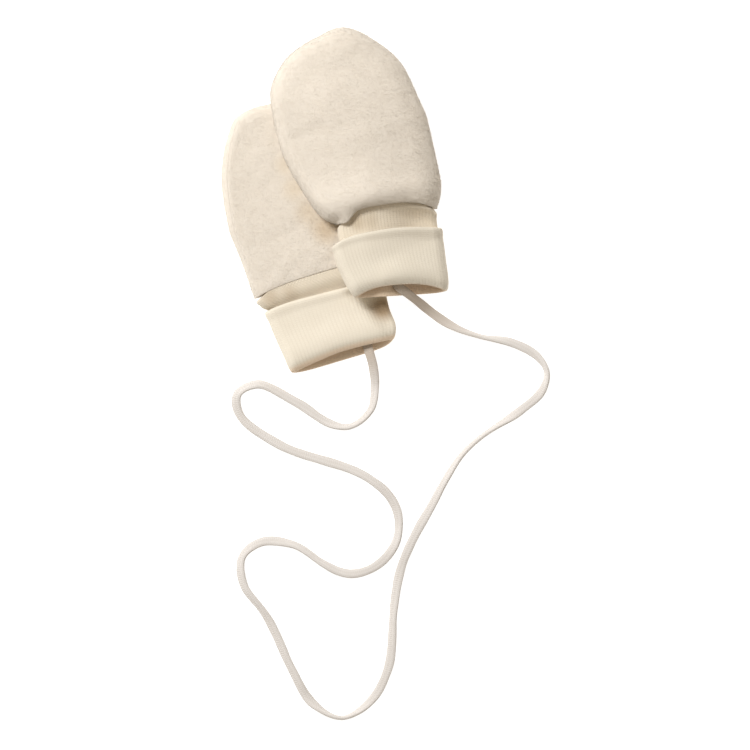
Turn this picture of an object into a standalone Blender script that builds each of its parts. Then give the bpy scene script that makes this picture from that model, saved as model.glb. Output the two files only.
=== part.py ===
"""A pair of thumbless baby mittens in wool fleece, laid flat, one partly on the other.

Each mitten has a top and a bottom panel sewn round the hand, and a ribbed cuff that is turned up
over itself. One long cord joins the two, from inside one cuff to inside the other.

The tables hold millimetres and the meshes metres. +Z is up, +Y runs towards the finger tips, and
the origin is the middle of the mittens' footprint, on the surface that they lie on.
"""

from collections import namedtuple

import bmesh
import bpy
import numpy as np

MM = 0.001

# Cloth
FLEECE_WALL = 2.4
RIB_WALL = 1.4
LAYER_GAP = 0.35
SEAM_GAP = 0.3
RIB_COUNT = 70
RIB_HEIGHT = 0.28

# Hand part of each mitten
WRIST_HEIGHT = 12.4
FRONT_HEIGHT = 12.0
REAR_HEIGHT = 10.5
EDGE_SHARE = 0.445
EDGE_ROUND = 5.5
EDGE_BLEND = 0.6
UNDER_ROUND = 4.5
CROWN_SHARE = 0.12
CROWN_REACH = 26.0
CROWN_START = 10.0
SWELL_REACH = 40.0
BOW_POWER = 3
RIM_ROUND = 6.0
RIM_HEIGHT = 10.9
RIM_INSIDE = 9.6
RIM_WALL = 1.4
RIM_DEPTH = 3.5
RIM_TAPER = 5.0

# Rolled side seam: its way in from the edge, the part of it left at the wrist and tip, and the
# most that it may take of the width
SEAM_ROLL = 3.0
SEAM_ROLL_ENDS = 0.3
SEAM_ROLL_MOST = 0.1

# Panel grids: columns across, and stations along from the rim and back from the tip
PANEL_COLUMNS = 18
RIM_STATIONS = (0.0, 0.12, 0.4, 0.9)
MIDDLE_STATIONS = (1.7, 5.6, 6)
TIP_STATIONS = (4.5, 3.5, 2.6, 1.8, 1.1, 0.5, 0.0)

# Cuff, as half heights of its two nested tubes
TURN_HALF = 5.5
HEM_HALF = 5.8
TUBE_HALF = TURN_HALF - RIB_WALL - LAYER_GAP
TURN_ROUND = 5.0
TUBE_ROUND = 3.3
TURN_LENGTH = 30.0
ROOT_LENGTH = 34.5
FLARE_LENGTH = 38.0
TUBE_LENGTH = 41.0
CUFF_BOW_POWER = 4

# How the front mitten lies over the rear one
REST_CLEARANCE = 0.8
CUFF_TOP = 12.95
LOW_RAMP = (-24.0, 4.0)
HIGH_RAMP = (-50.0, 4.0)
LAYER_BLEND = 2.0
HOLLOW_FLOOR = 3.3
HOLLOW_ROOF = 7.7

# Middle of the two mittens' footprint in the tables' own coordinates, which becomes the origin
FOOTPRINT_MIDDLE = (0.0855, 0.5965)

# Cord
CORD_DIAMETER = 3.6
CORD_POINTS = 76
LYING = CORD_DIAMETER / 2

SMOOTH_ANGLE = 50.0
FINE_STEPS = 4000

Section = namedtuple("Section", "left_x left_y right_x right_y bow")
CuffRow = namedtuple("CuffRow", "along left_x left_y right_x right_y bow_top bow_under half")
RoutePoint = namedtuple("RoutePoint", "x y z")
Ring = namedtuple("Ring", "tube along depth raised forward")
Mitten = namedtuple("Mitten", "name sections tip height seam_roll turn_up tube bends lifted")

# Sections from the wrist to just under the finger tip: both ends on the outline, and how far
# the top panel's middle is bowed towards the tip.
FRONT_SECTIONS = (
    Section(0.1, -11.6, 50.4, -3.9, 6.3),
    Section(-5.4, -9.4, 52.1, 2.1, 5.6),
    Section(-10.9, -3.9, 52.6, 8.6, 4.2),
    Section(-16.4, 4.6, 51.4, 15.6, 2.6),
    Section(-22.4, 14.6, 49.6, 24.1, 1.2),
    Section(-26.9, 24.6, 47.6, 33.1, 0.4),
    Section(-29.9, 35.6, 45.1, 43.1, 0.0),
    Section(-32.1, 46.6, 41.1, 52.1, 0.0),
    Section(-32.4, 55.1, 37.1, 61.1, 0.0),
    Section(-29.9, 62.6, 33.1, 68.4, 0.0),
    Section(-24.9, 71.1, 27.6, 74.4, 0.0),
    Section(-17.4, 77.9, 20.6, 79.6, 0.0),
    Section(-8.9, 82.6, 13.6, 83.9, 0.0),
    Section(-2.9, 85.6, 8.6, 86.0, 0.0),
)
FRONT_TIP = (3.1, 86.85)

REAR_SECTIONS = (
    Section(-39.4, -48.9, 14.1, -31.4, 2.6),
    Section(-41.9, -43.9, 16.1, -26.4, 2.2),
    Section(-44.9, -34.9, 17.1, -18.4, 1.6),
    Section(-48.4, -25.4, 17.1, -9.4, 0.9),
    Section(-51.6, -16.4, 16.4, -0.4, 0.3),
    Section(-54.1, -6.9, 15.1, 8.6, 0.0),
    Section(-56.1, 4.1, 12.6, 18.6, 0.0),
    Section(-56.6, 13.1, 9.1, 27.6, 0.0),
    Section(-55.4, 24.6, 4.1, 35.1, 0.0),
    Section(-53.6, 32.1, -0.9, 40.1, 0.0),
    Section(-50.9, 40.1, -6.9, 44.4, 0.0),
    Section(-46.4, 44.4, -13.4, 47.1, 0.0),
    Section(-40.9, 46.9, -19.9, 48.4, 0.0),
    Section(-35.9, 48.0, -25.9, 48.7, 0.0),
)
REAR_TIP = (-30.9, 48.8)

# Turned-up layer of each cuff, from its fold at the mouth to its rolled hem.
FRONT_TURN_UP = (
    CuffRow(0.0, 6.4, -46.4, 56.9, -44.1, 3.7, -1.4, TURN_HALF),
    CuffRow(14.0, 1.4, -33.9, 54.9, -29.6, 4.2, -0.7, TURN_HALF),
    CuffRow(TURN_LENGTH, -2.1, -22.6, 53.1, -13.1, 4.7, 0.0, HEM_HALF),
)
REAR_TURN_UP = (
    CuffRow(0.0, -21.4, -85.9, 30.4, -68.1, 3.9, -1.4, TURN_HALF),
    CuffRow(14.0, -27.9, -71.1, 28.1, -54.6, 3.0, -0.7, TURN_HALF),
    CuffRow(TURN_LENGTH, -34.4, -55.4, 25.1, -39.9, 2.1, 0.0, HEM_HALF),
)

# Outer face of each cuff's inner tube, from the same mouth to its end inside the hand part.
FRONT_TUBE = (
    CuffRow(0.0, 8.1, -46.2, 55.2, -44.2, 3.7, -1.4, TUBE_HALF),
    CuffRow(14.0, 4.4, -33.4, 53.0, -29.6, 4.2, -0.7, TUBE_HALF),
    CuffRow(TURN_LENGTH, 2.0, -21.0, 50.9, -13.4, 4.9, 0.0, TUBE_HALF),
    CuffRow(ROOT_LENGTH, -0.4, -15.6, 50.7, -9.0, 5.9, 0.0, TUBE_HALF),
    CuffRow(FLARE_LENGTH, 3.4, -12.4, 47.6, -5.6, 6.3, 0.0, TUBE_HALF),
    CuffRow(TUBE_LENGTH, 2.9, -8.4, 47.6, -1.6, 6.3, 0.0, TUBE_HALF),
)
REAR_TUBE = (
    CuffRow(0.0, -19.7, -85.3, 28.7, -68.7, 3.9, -1.4, TUBE_HALF),
    CuffRow(14.0, -25.4, -70.4, 25.5, -55.0, 3.0, -0.7, TUBE_HALF),
    CuffRow(TURN_LENGTH, -31.4, -55.1, 20.6, -40.0, 2.3, 0.0, TUBE_HALF),
    CuffRow(ROOT_LENGTH, -36.1, -52.6, 15.6, -36.0, 2.5, 0.0, TUBE_HALF),
    CuffRow(FLARE_LENGTH, -36.0, -49.2, 10.9, -33.7, 2.6, 0.0, TUBE_HALF),
    CuffRow(TUBE_LENGTH, -37.4, -45.2, 12.1, -29.6, 2.6, 0.0, TUBE_HALF),
)

# Where a cuff's faces bend between its mouth and its hem, as ways from the mouth.
FRONT_BENDS = (10.0, 19.5)
REAR_BENDS = (14.0,)

# Profile of a cuff's wall in four stretches, with the bends between them: which layer each ring
# follows, its way from the mouth, its depth under that layer's face, whether ribs stand on it,
# and how far they push it past the mouth.
HEM_RINGS = (
    Ring("turn_up", TURN_LENGTH - 0.6, RIB_WALL, False, 0.0),
    Ring("turn_up", TURN_LENGTH, 0.7, True, 0.0),
    Ring("turn_up", TURN_LENGTH - 0.4, -0.2, True, 0.0),
    Ring("turn_up", TURN_LENGTH - 1.5, -0.4, True, 0.0),
    Ring("turn_up", TURN_LENGTH - 3.0, 0.15, True, 0.0),
)
BEND_RELIEF = 0.3
MOUTH_RINGS = (
    Ring("turn_up", 3.0, 0.0, True, 0.0),
    Ring("turn_up", 0.7, 0.5, True, 0.2),
    Ring("turn_up", 0.0, 1.55, True, RIB_HEIGHT),
    Ring("turn_up", 0.7, 2.6, True, 0.2),
    Ring("tube", 3.4, RIB_WALL, False, 0.0),
)
ROOT_RINGS = (
    Ring("tube", TURN_LENGTH, RIB_WALL, False, 0.0),
    Ring("tube", ROOT_LENGTH, RIB_WALL, False, 0.0),
    Ring("tube", FLARE_LENGTH, RIB_WALL, False, 0.0),
    Ring("tube", TUBE_LENGTH, RIB_WALL, False, 0.0),
    Ring("tube", TUBE_LENGTH, 0.0, False, 0.0),
    Ring("tube", FLARE_LENGTH, 0.0, False, 0.0),
    Ring("tube", 36.4, 0.0, True, 0.0),
    Ring("tube", 34.0, 0.0, True, 0.0),
    Ring("tube", TURN_LENGTH - 0.5, 0.0, True, 0.0),
)
CREVICE_RINGS = (
    Ring("tube", 1.8, 0.0, False, 0.0),
    Ring("turn_up", 1.8, RIB_WALL, False, 0.0),
)

FRONT = Mitten(
    "front",
    FRONT_SECTIONS,
    FRONT_TIP,
    FRONT_HEIGHT,
    0.0,
    FRONT_TURN_UP,
    FRONT_TUBE,
    FRONT_BENDS,
    True,
)
REAR = Mitten(
    "rear",
    REAR_SECTIONS,
    REAR_TIP,
    REAR_HEIGHT,
    SEAM_ROLL,
    REAR_TURN_UP,
    REAR_TUBE,
    REAR_BENDS,
    False,
)

# The cord's centreline, from inside the front cuff to inside the rear one.
CORD_ROUTE = (
    RoutePoint(27.5, -31.0, 14.3),
    RoutePoint(31.0, -42.0, 16.5),
    RoutePoint(36.1, -46.4, 13.0),
    RoutePoint(46.1, -54.6, 4.2),
    RoutePoint(57.1, -61.8, LYING),
    RoutePoint(72.1, -67.9, LYING),
    RoutePoint(87.6, -70.9, LYING),
    RoutePoint(99.6, -77.4, LYING),
    RoutePoint(105.6, -85.9, LYING),
    RoutePoint(103.6, -93.9, LYING),
    RoutePoint(92.1, -104.4, LYING),
    RoutePoint(62.1, -127.9, LYING),
    RoutePoint(33.6, -178.4, LYING),
    RoutePoint(27.1, -233.4, LYING),
    RoutePoint(18.6, -249.9, LYING),
    RoutePoint(3.1, -258.4, LYING),
    RoutePoint(-11.9, -250.4, LYING),
    RoutePoint(-21.9, -233.4, LYING),
    RoutePoint(-32.4, -209.9, LYING),
    RoutePoint(-45.9, -192.4, LYING),
    RoutePoint(-46.9, -177.9, LYING),
    RoutePoint(-36.9, -169.9, LYING),
    RoutePoint(-21.9, -171.4, LYING),
    RoutePoint(-6.9, -180.9, LYING),
    RoutePoint(8.1, -186.4, LYING),
    RoutePoint(23.1, -180.9, LYING),
    RoutePoint(32.1, -169.4, LYING),
    RoutePoint(30.6, -152.9, LYING),
    RoutePoint(16.1, -136.9, LYING),
    RoutePoint(-27.9, -122.4, LYING),
    RoutePoint(-46.4, -108.9, LYING),
    RoutePoint(-48.9, -96.4, LYING),
    RoutePoint(-38.9, -90.9, LYING),
    RoutePoint(-18.9, -100.4, LYING),
    RoutePoint(6.1, -112.9, LYING),
    RoutePoint(18.1, -104.9, LYING),
    RoutePoint(20.1, -93.4, LYING),
    RoutePoint(18.9, -83.5, 4.4),
    RoutePoint(17.2, -76.8, 5.8),
    RoutePoint(12.8, -62.5, 5.5),
)

FLEECE_COLOUR = (0.83, 0.75, 0.62, 1.0)
RIB_COLOUR = (0.86, 0.78, 0.62, 1.0)
CORD_COLOUR = (0.80, 0.73, 0.63, 1.0)
WOOL_ROUGHNESS = 0.95


def quarter_round(share):
    """Height of a quarter circle, 0 at its edge and 1 from one radius inwards."""
    share = np.clip(share, 0.0, 1.0)
    return np.sqrt(1.0 - (1.0 - share) ** 2)


def smooth_step(share):
    share = np.clip(share, 0.0, 1.0)
    return share * share * (3.0 - 2.0 * share)


def ramp(value, limits):
    low, high = limits
    return smooth_step((value - low) / (high - low))


def curve_through(knots, rows, where):
    """Cubic curve through the rows, each at its knot, read at the places in where."""
    knots = np.asarray(knots, float)
    rows = np.asarray(rows, float)
    slopes = np.gradient(rows, knots, axis=0)
    where = np.clip(where, knots[0], knots[-1])
    span = np.clip(np.searchsorted(knots, where, side="right") - 1, 0, len(knots) - 2)
    width = (knots[span + 1] - knots[span])[..., None]
    t = (where - knots[span])[..., None] / width
    return (
        (2 * t**3 - 3 * t**2 + 1) * rows[span]
        + (t**3 - 2 * t**2 + t) * width * slopes[span]
        + (3 * t**2 - 2 * t**3) * rows[span + 1]
        + (t**3 - t**2) * width * slopes[span + 1]
    )


def outline_rows(mitten):
    """The hand part's outline: up its left side, round the tip and down its right side."""
    left = [(row.left_x, row.left_y) for row in mitten.sections]
    right = [(row.right_x, row.right_y) for row in mitten.sections]
    return np.array(left + [mitten.tip] + right[::-1])


def outline_at(mitten, where):
    rows = outline_rows(mitten)
    return curve_through(np.arange(len(rows)), rows, np.asarray(where, float))


def inward_at(mitten, where):
    """Unit normals of the outline that point into the hand part."""
    step = 0.02
    last = 2 * len(mitten.sections)
    ahead = outline_at(mitten, np.minimum(where + step, last))
    behind = outline_at(mitten, np.maximum(where - step, 0.0))
    along = ahead - behind
    normal = np.stack([along[..., 1], -along[..., 0]], axis=-1)
    return normal / np.linalg.norm(normal, axis=-1, keepdims=True)


def wrist_middle(mitten):
    wrist = mitten.sections[0]
    return np.array([wrist.left_x + wrist.right_x, wrist.left_y + wrist.right_y]) / 2


def hand_axis(mitten):
    """Unit vector from the middle of the wrist to the tip."""
    axis = np.array(mitten.tip) - wrist_middle(mitten)
    return axis / np.linalg.norm(axis)


def nearest_distance(points, line, closed):
    """Distance from each point to a polyline."""
    start = line if closed else line[:-1]
    end = np.roll(line, -1, axis=0) if closed else line[1:]
    way = end - start
    offset = points[..., None, :] - start
    t = np.clip((offset * way).sum(-1) / (way * way).sum(-1), 0.0, 1.0)
    return np.linalg.norm(offset - t[..., None] * way, axis=-1).min(-1)


def inside_distance(points, line):
    """Distance to a closed outline, positive inside it and negative outside."""
    start = line
    end = np.roll(line, -1, axis=0)
    x = points[..., None, 0]
    y = points[..., None, 1]
    spans = (start[:, 1] > y) != (end[:, 1] > y)
    rise = np.where(end[:, 1] == start[:, 1], 1.0, end[:, 1] - start[:, 1])
    crossing = start[:, 0] + (y - start[:, 1]) * (end[:, 0] - start[:, 0]) / rise
    inside = (spans & (x < crossing)).sum(-1) % 2 == 1
    distance = nearest_distance(points, line, True)
    return np.where(inside, distance, -distance)


def hand_outline(mitten, count=240):
    return outline_at(mitten, np.linspace(0.0, 2 * len(mitten.sections), count))


def cuff_outline(mitten):
    """The turned-up layer's footprint, as a closed outline with its bowed hem."""
    left = np.array([(row.left_x, row.left_y) for row in mitten.turn_up])
    right = np.array([(row.right_x, row.right_y) for row in mitten.turn_up])
    hem_middle = (left[-1] + right[-1]) / 2 + hand_axis(mitten) * mitten.turn_up[-1].bow_top
    return np.concatenate([left, [hem_middle], right[::-1]])


def hand_height(mitten, points):
    """Full height of the hand part over a plan point: it swells towards the wrist."""
    along = (points - wrist_middle(mitten)) @ hand_axis(mitten)
    swell = smooth_step(1.0 - along / SWELL_REACH)
    return mitten.height + (WRIST_HEIGHT - mitten.height) * swell


def lift(points, limits):
    """Height that the rear mitten gives to what lies over it, ramping down to the surface."""
    over_hand = ramp(inside_distance(points, hand_outline(REAR)), limits)
    over_cuff = ramp(inside_distance(points, cuff_outline(REAR)), limits)
    hand = (hand_height(REAR, points) + REST_CLEARANCE) * over_hand
    cuff = (CUFF_TOP + REST_CLEARANCE) * over_cuff
    apart = np.abs(hand - cuff)
    blend = np.clip(LAYER_BLEND - apart, 0.0, None) ** 2 / (4 * LAYER_BLEND)
    return np.maximum(hand, cuff) + blend * np.minimum(hand, cuff) / (CUFF_TOP + REST_CLEARANCE)


def laid(mitten, plan, height):
    """Places a plan point at a height within the mitten: the hollow takes up any difference
    between the lower layers, which follow what is under them closely, and the upper ones."""
    if mitten.lifted:
        share = np.clip((height - HOLLOW_FLOOR) / (HOLLOW_ROOF - HOLLOW_FLOOR), 0.0, 1.0)
        height = height + lift(plan, LOW_RAMP) * (1 - share) + lift(plan, HIGH_RAMP) * share
    return np.concatenate([plan, height[..., None]], axis=-1)


def hand_point(mitten, station, turn, inner, lip):
    """A point of the hand part. station counts the sections from the wrist to the tip. turn runs
    from the right edge (0) over the top to the left edge (1) and back underneath (2). inner picks
    the inside of the wall, and lip is the panel's side of the seam gap."""
    rows = outline_rows(mitten)
    last = len(rows) - 1
    wall = FLEECE_WALL if inner else 0.0
    left_edge = outline_at(mitten, station)
    right_edge = outline_at(mitten, last - station)
    left_normal = inward_at(mitten, station)
    right_normal = inward_at(mitten, last - station)
    left = left_edge + wall * left_normal
    right = right_edge + wall * right_normal
    axis = hand_axis(mitten)
    bows = [row.bow for row in mitten.sections] + [0.0]
    bow = curve_through(np.arange(len(bows)), np.array(bows)[:, None], station)
    across = np.cos(np.pi * turn)
    on_top = turn <= 1.0
    arch = (1.0 - np.abs(across) ** BOW_POWER) * on_top
    plan = left + (right - left) * ((1.0 + across) / 2)[..., None] + axis * bow * arch[..., None]

    # Distance in from the outline, exact at the edge itself.
    to_left = ((plan - left_edge) * left_normal).sum(-1)
    to_right = ((plan - right_edge) * right_normal).sum(-1)
    tangent = np.clip(np.minimum(to_left, to_right), 0.0, None)
    curve = nearest_distance(plan, hand_outline(mitten, 480), False)
    mix = smooth_step((tangent - wall) / EDGE_BLEND)
    inset = np.clip(tangent * (1 - mix) + curve * mix - wall, 0.0, None)

    middle = (left + right) / 2 + axis * bow
    from_rim = np.clip((middle - wrist_middle(mitten)) @ axis - mitten.sections[0].bow, 0.0, None)

    height = hand_height(mitten, plan)
    edge = height * EDGE_SHARE + lip
    share = CROWN_SHARE * smooth_step(from_rim / CROWN_START)
    over = (1 - share) * quarter_round(inset / (EDGE_ROUND - wall))
    over = over + share * smooth_step(inset / CROWN_REACH)
    roof = height - wall
    rim = RIM_INSIDE if inner else RIM_HEIGHT
    rim_share = (rim - edge) / (roof - edge)
    over = over * (rim_share + (1 - rim_share) * quarter_round(from_rim / RIM_ROUND))
    under = quarter_round(inset / (UNDER_ROUND - wall))
    taper = smooth_step((from_rim - RIM_DEPTH) / RIM_TAPER)
    floor = RIM_WALL + (FLEECE_WALL - RIM_WALL) * taper if inner else 0.0
    level = np.where(on_top, edge + (roof - edge) * over, edge - (edge - floor) * under)
    return laid(mitten, plan, level)


def seam_turn(mitten, station, inner):
    """Where the left seam lies round the section: at the edge, or rolled onto the top."""
    rows = outline_rows(mitten)
    width = np.linalg.norm(
        outline_at(mitten, len(rows) - 1 - station) - outline_at(mitten, station), axis=-1
    )
    along = np.clip(station / len(mitten.sections), 0.0, 1.0)
    roll = mitten.seam_roll * (SEAM_ROLL_ENDS + (1.0 - SEAM_ROLL_ENDS) * np.sin(np.pi * along))
    roll = np.minimum(roll, SEAM_ROLL_MOST * width)
    if inner:
        roll = roll * (EDGE_ROUND - FLEECE_WALL) / EDGE_ROUND
    across = -1.0 + 2.0 * roll / np.maximum(width, 1e-6)
    return np.arccos(np.clip(across, -1.0, 1.0)) / np.pi


def half_gap_turn(mitten, station, turn, inner, lip):
    """Half of the seam gap as a part of the turn, nothing where the seam is at the edge."""
    step = 0.004
    most = 0.015
    at_edge = 0.999
    ahead = hand_point(mitten, station, turn + step, inner, lip)
    behind = hand_point(mitten, station, turn - step, inner, lip)
    speed = np.linalg.norm(ahead - behind, axis=-1) / (2 * step)
    gap = np.minimum(SEAM_GAP / 2 / np.maximum(speed, 1e-6), most)
    return np.where(turn < at_edge, gap, 0.0)


def panel_stations(mitten):
    """Stations close together at the rim and at the tip, where the wall rounds over."""
    last = len(mitten.sections)
    start, end, count = MIDDLE_STATIONS
    between = np.linspace(start, last - end, count)
    return np.concatenate([RIM_STATIONS, between, last - np.array(TIP_STATIONS)])


def in_metres(points):
    """Table coordinates as metres from the origin."""
    return (np.asarray(points) - (*FOOTPRINT_MIDDLE, 0.0)) * MM


def add_node(name, points, faces, colour):
    """A closed mesh object of one material, from points in the tables' coordinates."""
    mesh = bpy.data.meshes.new(name)
    mesh.from_pydata(in_metres(points).tolist(), [], faces)
    work = bmesh.new()
    work.from_mesh(mesh)
    bmesh.ops.remove_doubles(work, verts=work.verts, dist=0.00001)
    bmesh.ops.recalc_face_normals(work, faces=work.faces)
    work.to_mesh(mesh)
    work.free()
    mesh.shade_smooth()
    mesh.set_sharp_from_angle(angle=np.radians(SMOOTH_ANGLE))
    mesh.materials.append(wool(name, colour))
    node = bpy.data.objects.new(name, mesh)
    bpy.context.scene.collection.objects.link(node)


def wool(name, colour):
    material = bpy.data.materials.new(name + "_wool")
    material.use_nodes = True
    shader = material.node_tree.nodes["Principled BSDF"]
    shader.inputs["Base Color"].default_value = colour
    shader.inputs["Roughness"].default_value = WOOL_ROUGHNESS
    shader.inputs["Metallic"].default_value = 0.0
    material.diffuse_color = colour
    return material


def grid_faces(offset, rows, columns, columns_across):
    """Quads of a grid of points that starts at offset, columns_across points to a row."""
    faces = []
    for row in range(rows - 1):
        for column in range(columns - 1):
            first = offset + row * columns_across + column
            above = first + columns_across
            faces.append((first, first + 1, above + 1, above))
    return faces


def make_panel(mitten, on_top):
    """One panel of the hand part: outer face, inner face and the strip all round between them."""
    station = panel_stations(mitten)
    lip = SEAM_GAP / 2 if on_top else -SEAM_GAP / 2
    columns = PANEL_COLUMNS if on_top else PANEL_COLUMNS + 2
    spread = np.linspace(0.0, 1.0, columns + 1)
    skins = []
    for inner in (False, True):
        seam = seam_turn(mitten, station, inner)
        gap = half_gap_turn(mitten, station, seam, inner, lip)
        first = np.zeros_like(seam) if on_top else seam + gap
        final = seam - gap if on_top else np.full_like(seam, 2.0)
        turn = first[:, None] + (final - first)[:, None] * spread
        if not on_top and mitten.seam_roll == 0.0:
            turn = np.maximum(turn, 1.0 + 1e-9)
        place = np.broadcast_to(station[:, None], turn.shape)
        skins.append(hand_point(mitten, place, turn, inner, lip))
    rows, across = skins[0].shape[:2]
    count = rows * across
    faces = grid_faces(0, rows, across, across)
    faces += [face[::-1] for face in grid_faces(count, rows, across, across)]
    for row in range(rows - 1):
        for column in (0, across - 1):
            first = row * across + column
            above = first + across
            faces.append((first, above, above + count, first + count))
    for column in range(across - 1):
        faces.append((column, column + 1, column + 1 + count, column + count))
    points = np.concatenate([skin.reshape(-1, 3) for skin in skins])
    side = "top" if on_top else "bottom"
    add_node(f"{mitten.name}_{side}_panel", points, faces, FLEECE_COLOUR)


def cuff_point(mitten, ring, turn, raised):
    """A point of a cuff's wall, on a ring of it and at a turn round its section."""
    table = mitten.turn_up if ring.tube == "turn_up" else mitten.tube
    round_size = TURN_ROUND if ring.tube == "turn_up" else TUBE_ROUND
    knots = [row.along for row in table]
    depth = ring.depth - raised * RIB_HEIGHT * (1.0 if ring.forward < RIB_HEIGHT else 0.0)
    along = ring.along - raised * ring.forward
    values = curve_through(knots, table, np.maximum(along, 0.0))
    left = values[..., 1:3]
    right = values[..., 3:5]
    bow_top, bow_under, half = (values[..., index] for index in range(5, 8))
    centre = half if ring.tube == "turn_up" else TURN_HALF
    width = np.linalg.norm(right - left, axis=-1)
    chord = (right - left) / width[..., None]
    left = left + chord * depth[..., None]
    right = right - chord * depth[..., None]
    across = np.cos(np.pi * turn)
    arch = 1.0 - np.abs(across) ** CUFF_BOW_POWER
    bow = np.where(turn <= 1.0, bow_top, bow_under) * arch
    past_mouth = np.minimum(along, 0.0)
    axis = np.stack([-chord[..., 1], chord[..., 0]], axis=-1)
    plan = left + (right - left) * ((1.0 + across) / 2)[..., None]
    plan = plan + axis * (bow + past_mouth)[..., None]
    inset = (1.0 - np.abs(across)) * (width / 2 - depth)
    rise = (half - depth) * quarter_round(inset / np.maximum(round_size - depth, 0.5))
    level = np.where(turn <= 1.0, centre + rise, centre - rise)
    return laid(mitten, plan, np.maximum(level, 0.0))


def bend_rings(mitten, layer, depth, raised):
    """Rings where one layer of the cuff bends, from the mouth towards the hem."""
    return [Ring(layer, along, depth, raised, 0.0) for along in mitten.bends]


def cuff_rings(mitten):
    """Rings in order round the wall's profile: down the turned-up layer's outside, in at the mouth,
    up the tube's inside, and back between the two layers."""
    return [
        *HEM_RINGS,
        *bend_rings(mitten, "turn_up", -BEND_RELIEF, True)[::-1],
        *MOUTH_RINGS,
        *bend_rings(mitten, "tube", RIB_WALL, False),
        *ROOT_RINGS,
        *bend_rings(mitten, "tube", 0.0, False)[::-1],
        *CREVICE_RINGS,
        *bend_rings(mitten, "turn_up", RIB_WALL, False),
    ]


def rib_turns(mitten):
    """Turns that are evenly spaced round the cuff, two for each rib."""
    ring = Ring("turn_up", TURN_LENGTH / 2, 0.0, False, 0.0)
    fine = np.linspace(0.0, 2.0, FINE_STEPS + 1)
    flat = mitten._replace(lifted=False)
    loop = cuff_point(flat, ring, fine, np.zeros_like(fine))
    way = np.concatenate([[0.0], np.cumsum(np.linalg.norm(np.diff(loop, axis=0), axis=1))])
    even = np.linspace(0.0, way[-1], 2 * RIB_COUNT, endpoint=False)
    return np.interp(even, way, fine)


def ring_strip(first, first_size, second, second_size):
    """Faces between two closed rings of points; one may have twice the points of the other."""
    faces = []
    if first_size == second_size:
        for index in range(first_size):
            after = (index + 1) % first_size
            faces.append((first + index, first + after, second + after, second + index))
        return faces
    fine, coarse, count = first, second, second_size
    if first_size < second_size:
        fine, coarse, count = second, first, first_size
    for index in range(count):
        after = (index + 1) % count
        middle = fine + 2 * index + 1
        faces.append((coarse + index, fine + 2 * index, middle))
        faces.append((coarse + index, middle, coarse + after))
        faces.append((coarse + after, middle, fine + 2 * after))
    return faces


def make_cuff(mitten):
    """The ribbed cuff: a tube from inside the hand part to the mouth, turned up over itself."""
    turns = rib_turns(mitten)
    rib = np.arange(len(turns)) % 2
    loops = []
    for ring in cuff_rings(mitten):
        turn = turns if ring.raised else turns[::2]
        raised = rib if ring.raised else np.zeros(RIB_COUNT)
        loops.append(cuff_point(mitten, ring, turn, raised.astype(float)))
    starts = np.concatenate([[0], np.cumsum([len(loop) for loop in loops])])
    faces = []
    for index, loop in enumerate(loops):
        after = (index + 1) % len(loops)
        faces += ring_strip(int(starts[index]), len(loop), int(starts[after]), len(loops[after]))
    add_node(f"{mitten.name}_cuff", np.concatenate(loops), faces, RIB_COLOUR)


def make_cord():
    """The joining cord, a tube along a smooth curve through its route."""
    route = np.array(CORD_ROUTE)
    steps = np.linalg.norm(np.diff(route, axis=0), axis=1) ** 0.5
    knots = np.concatenate([[0.0], np.cumsum(steps)])
    fine = curve_through(knots, route, np.linspace(0.0, knots[-1], FINE_STEPS))
    way = np.concatenate([[0.0], np.cumsum(np.linalg.norm(np.diff(fine, axis=0), axis=1))])
    even = np.linspace(0.0, way[-1], CORD_POINTS)
    points = np.stack([np.interp(even, way, fine[:, axis]) for axis in range(3)], axis=1)
    points[:, 2] = np.maximum(points[:, 2], CORD_DIAMETER / 2)
    curve = bpy.data.curves.new("cord", "CURVE")
    curve.dimensions = "3D"
    curve.bevel_depth = CORD_DIAMETER / 2 * MM
    curve.bevel_resolution = 2
    curve.use_fill_caps = True
    spline = curve.splines.new("POLY")
    spline.points.add(len(points) - 1)
    for target, point in zip(spline.points, in_metres(points)):
        target.co = (*point, 1.0)
    curve.materials.append(wool("cord", CORD_COLOUR))
    bpy.context.scene.collection.objects.link(bpy.data.objects.new("cord", curve))


def main():
    for old in list(bpy.data.objects):
        bpy.data.objects.remove(old)
    for mitten in (FRONT, REAR):
        make_panel(mitten, True)
        make_panel(mitten, False)
        make_cuff(mitten)
    make_cord()


main()
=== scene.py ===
import bmesh
import bpy
import numpy as np
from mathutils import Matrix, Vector


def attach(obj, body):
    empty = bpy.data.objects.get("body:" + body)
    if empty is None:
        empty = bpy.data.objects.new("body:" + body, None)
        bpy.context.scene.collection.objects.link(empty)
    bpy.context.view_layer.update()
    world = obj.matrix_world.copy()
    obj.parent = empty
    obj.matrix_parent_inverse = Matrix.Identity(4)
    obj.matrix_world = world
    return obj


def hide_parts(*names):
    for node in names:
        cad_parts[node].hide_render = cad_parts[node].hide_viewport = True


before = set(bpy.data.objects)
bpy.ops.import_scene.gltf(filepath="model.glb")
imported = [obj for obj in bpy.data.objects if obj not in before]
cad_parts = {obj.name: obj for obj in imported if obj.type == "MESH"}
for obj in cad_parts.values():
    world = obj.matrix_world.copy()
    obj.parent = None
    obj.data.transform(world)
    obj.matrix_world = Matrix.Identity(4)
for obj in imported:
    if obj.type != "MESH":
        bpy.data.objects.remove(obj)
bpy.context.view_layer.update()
mm = 0.001
print("frame loaded")


# tools that every piece uses


def smoothStep(share):  # 3t^2 - 2t^3, held at 0 below t = 0 and at 1 above t = 1
    share = np.clip(share, 0.0, 1.0)
    return share * share * (3.0 - 2.0 * share)


def quarterRound(share):  # height of a quarter circle, 0 at its edge and 1 from a radius inwards
    share = np.clip(share, 0.0, 1.0)
    return np.sqrt(1.0 - (1.0 - share) ** 2)


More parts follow.
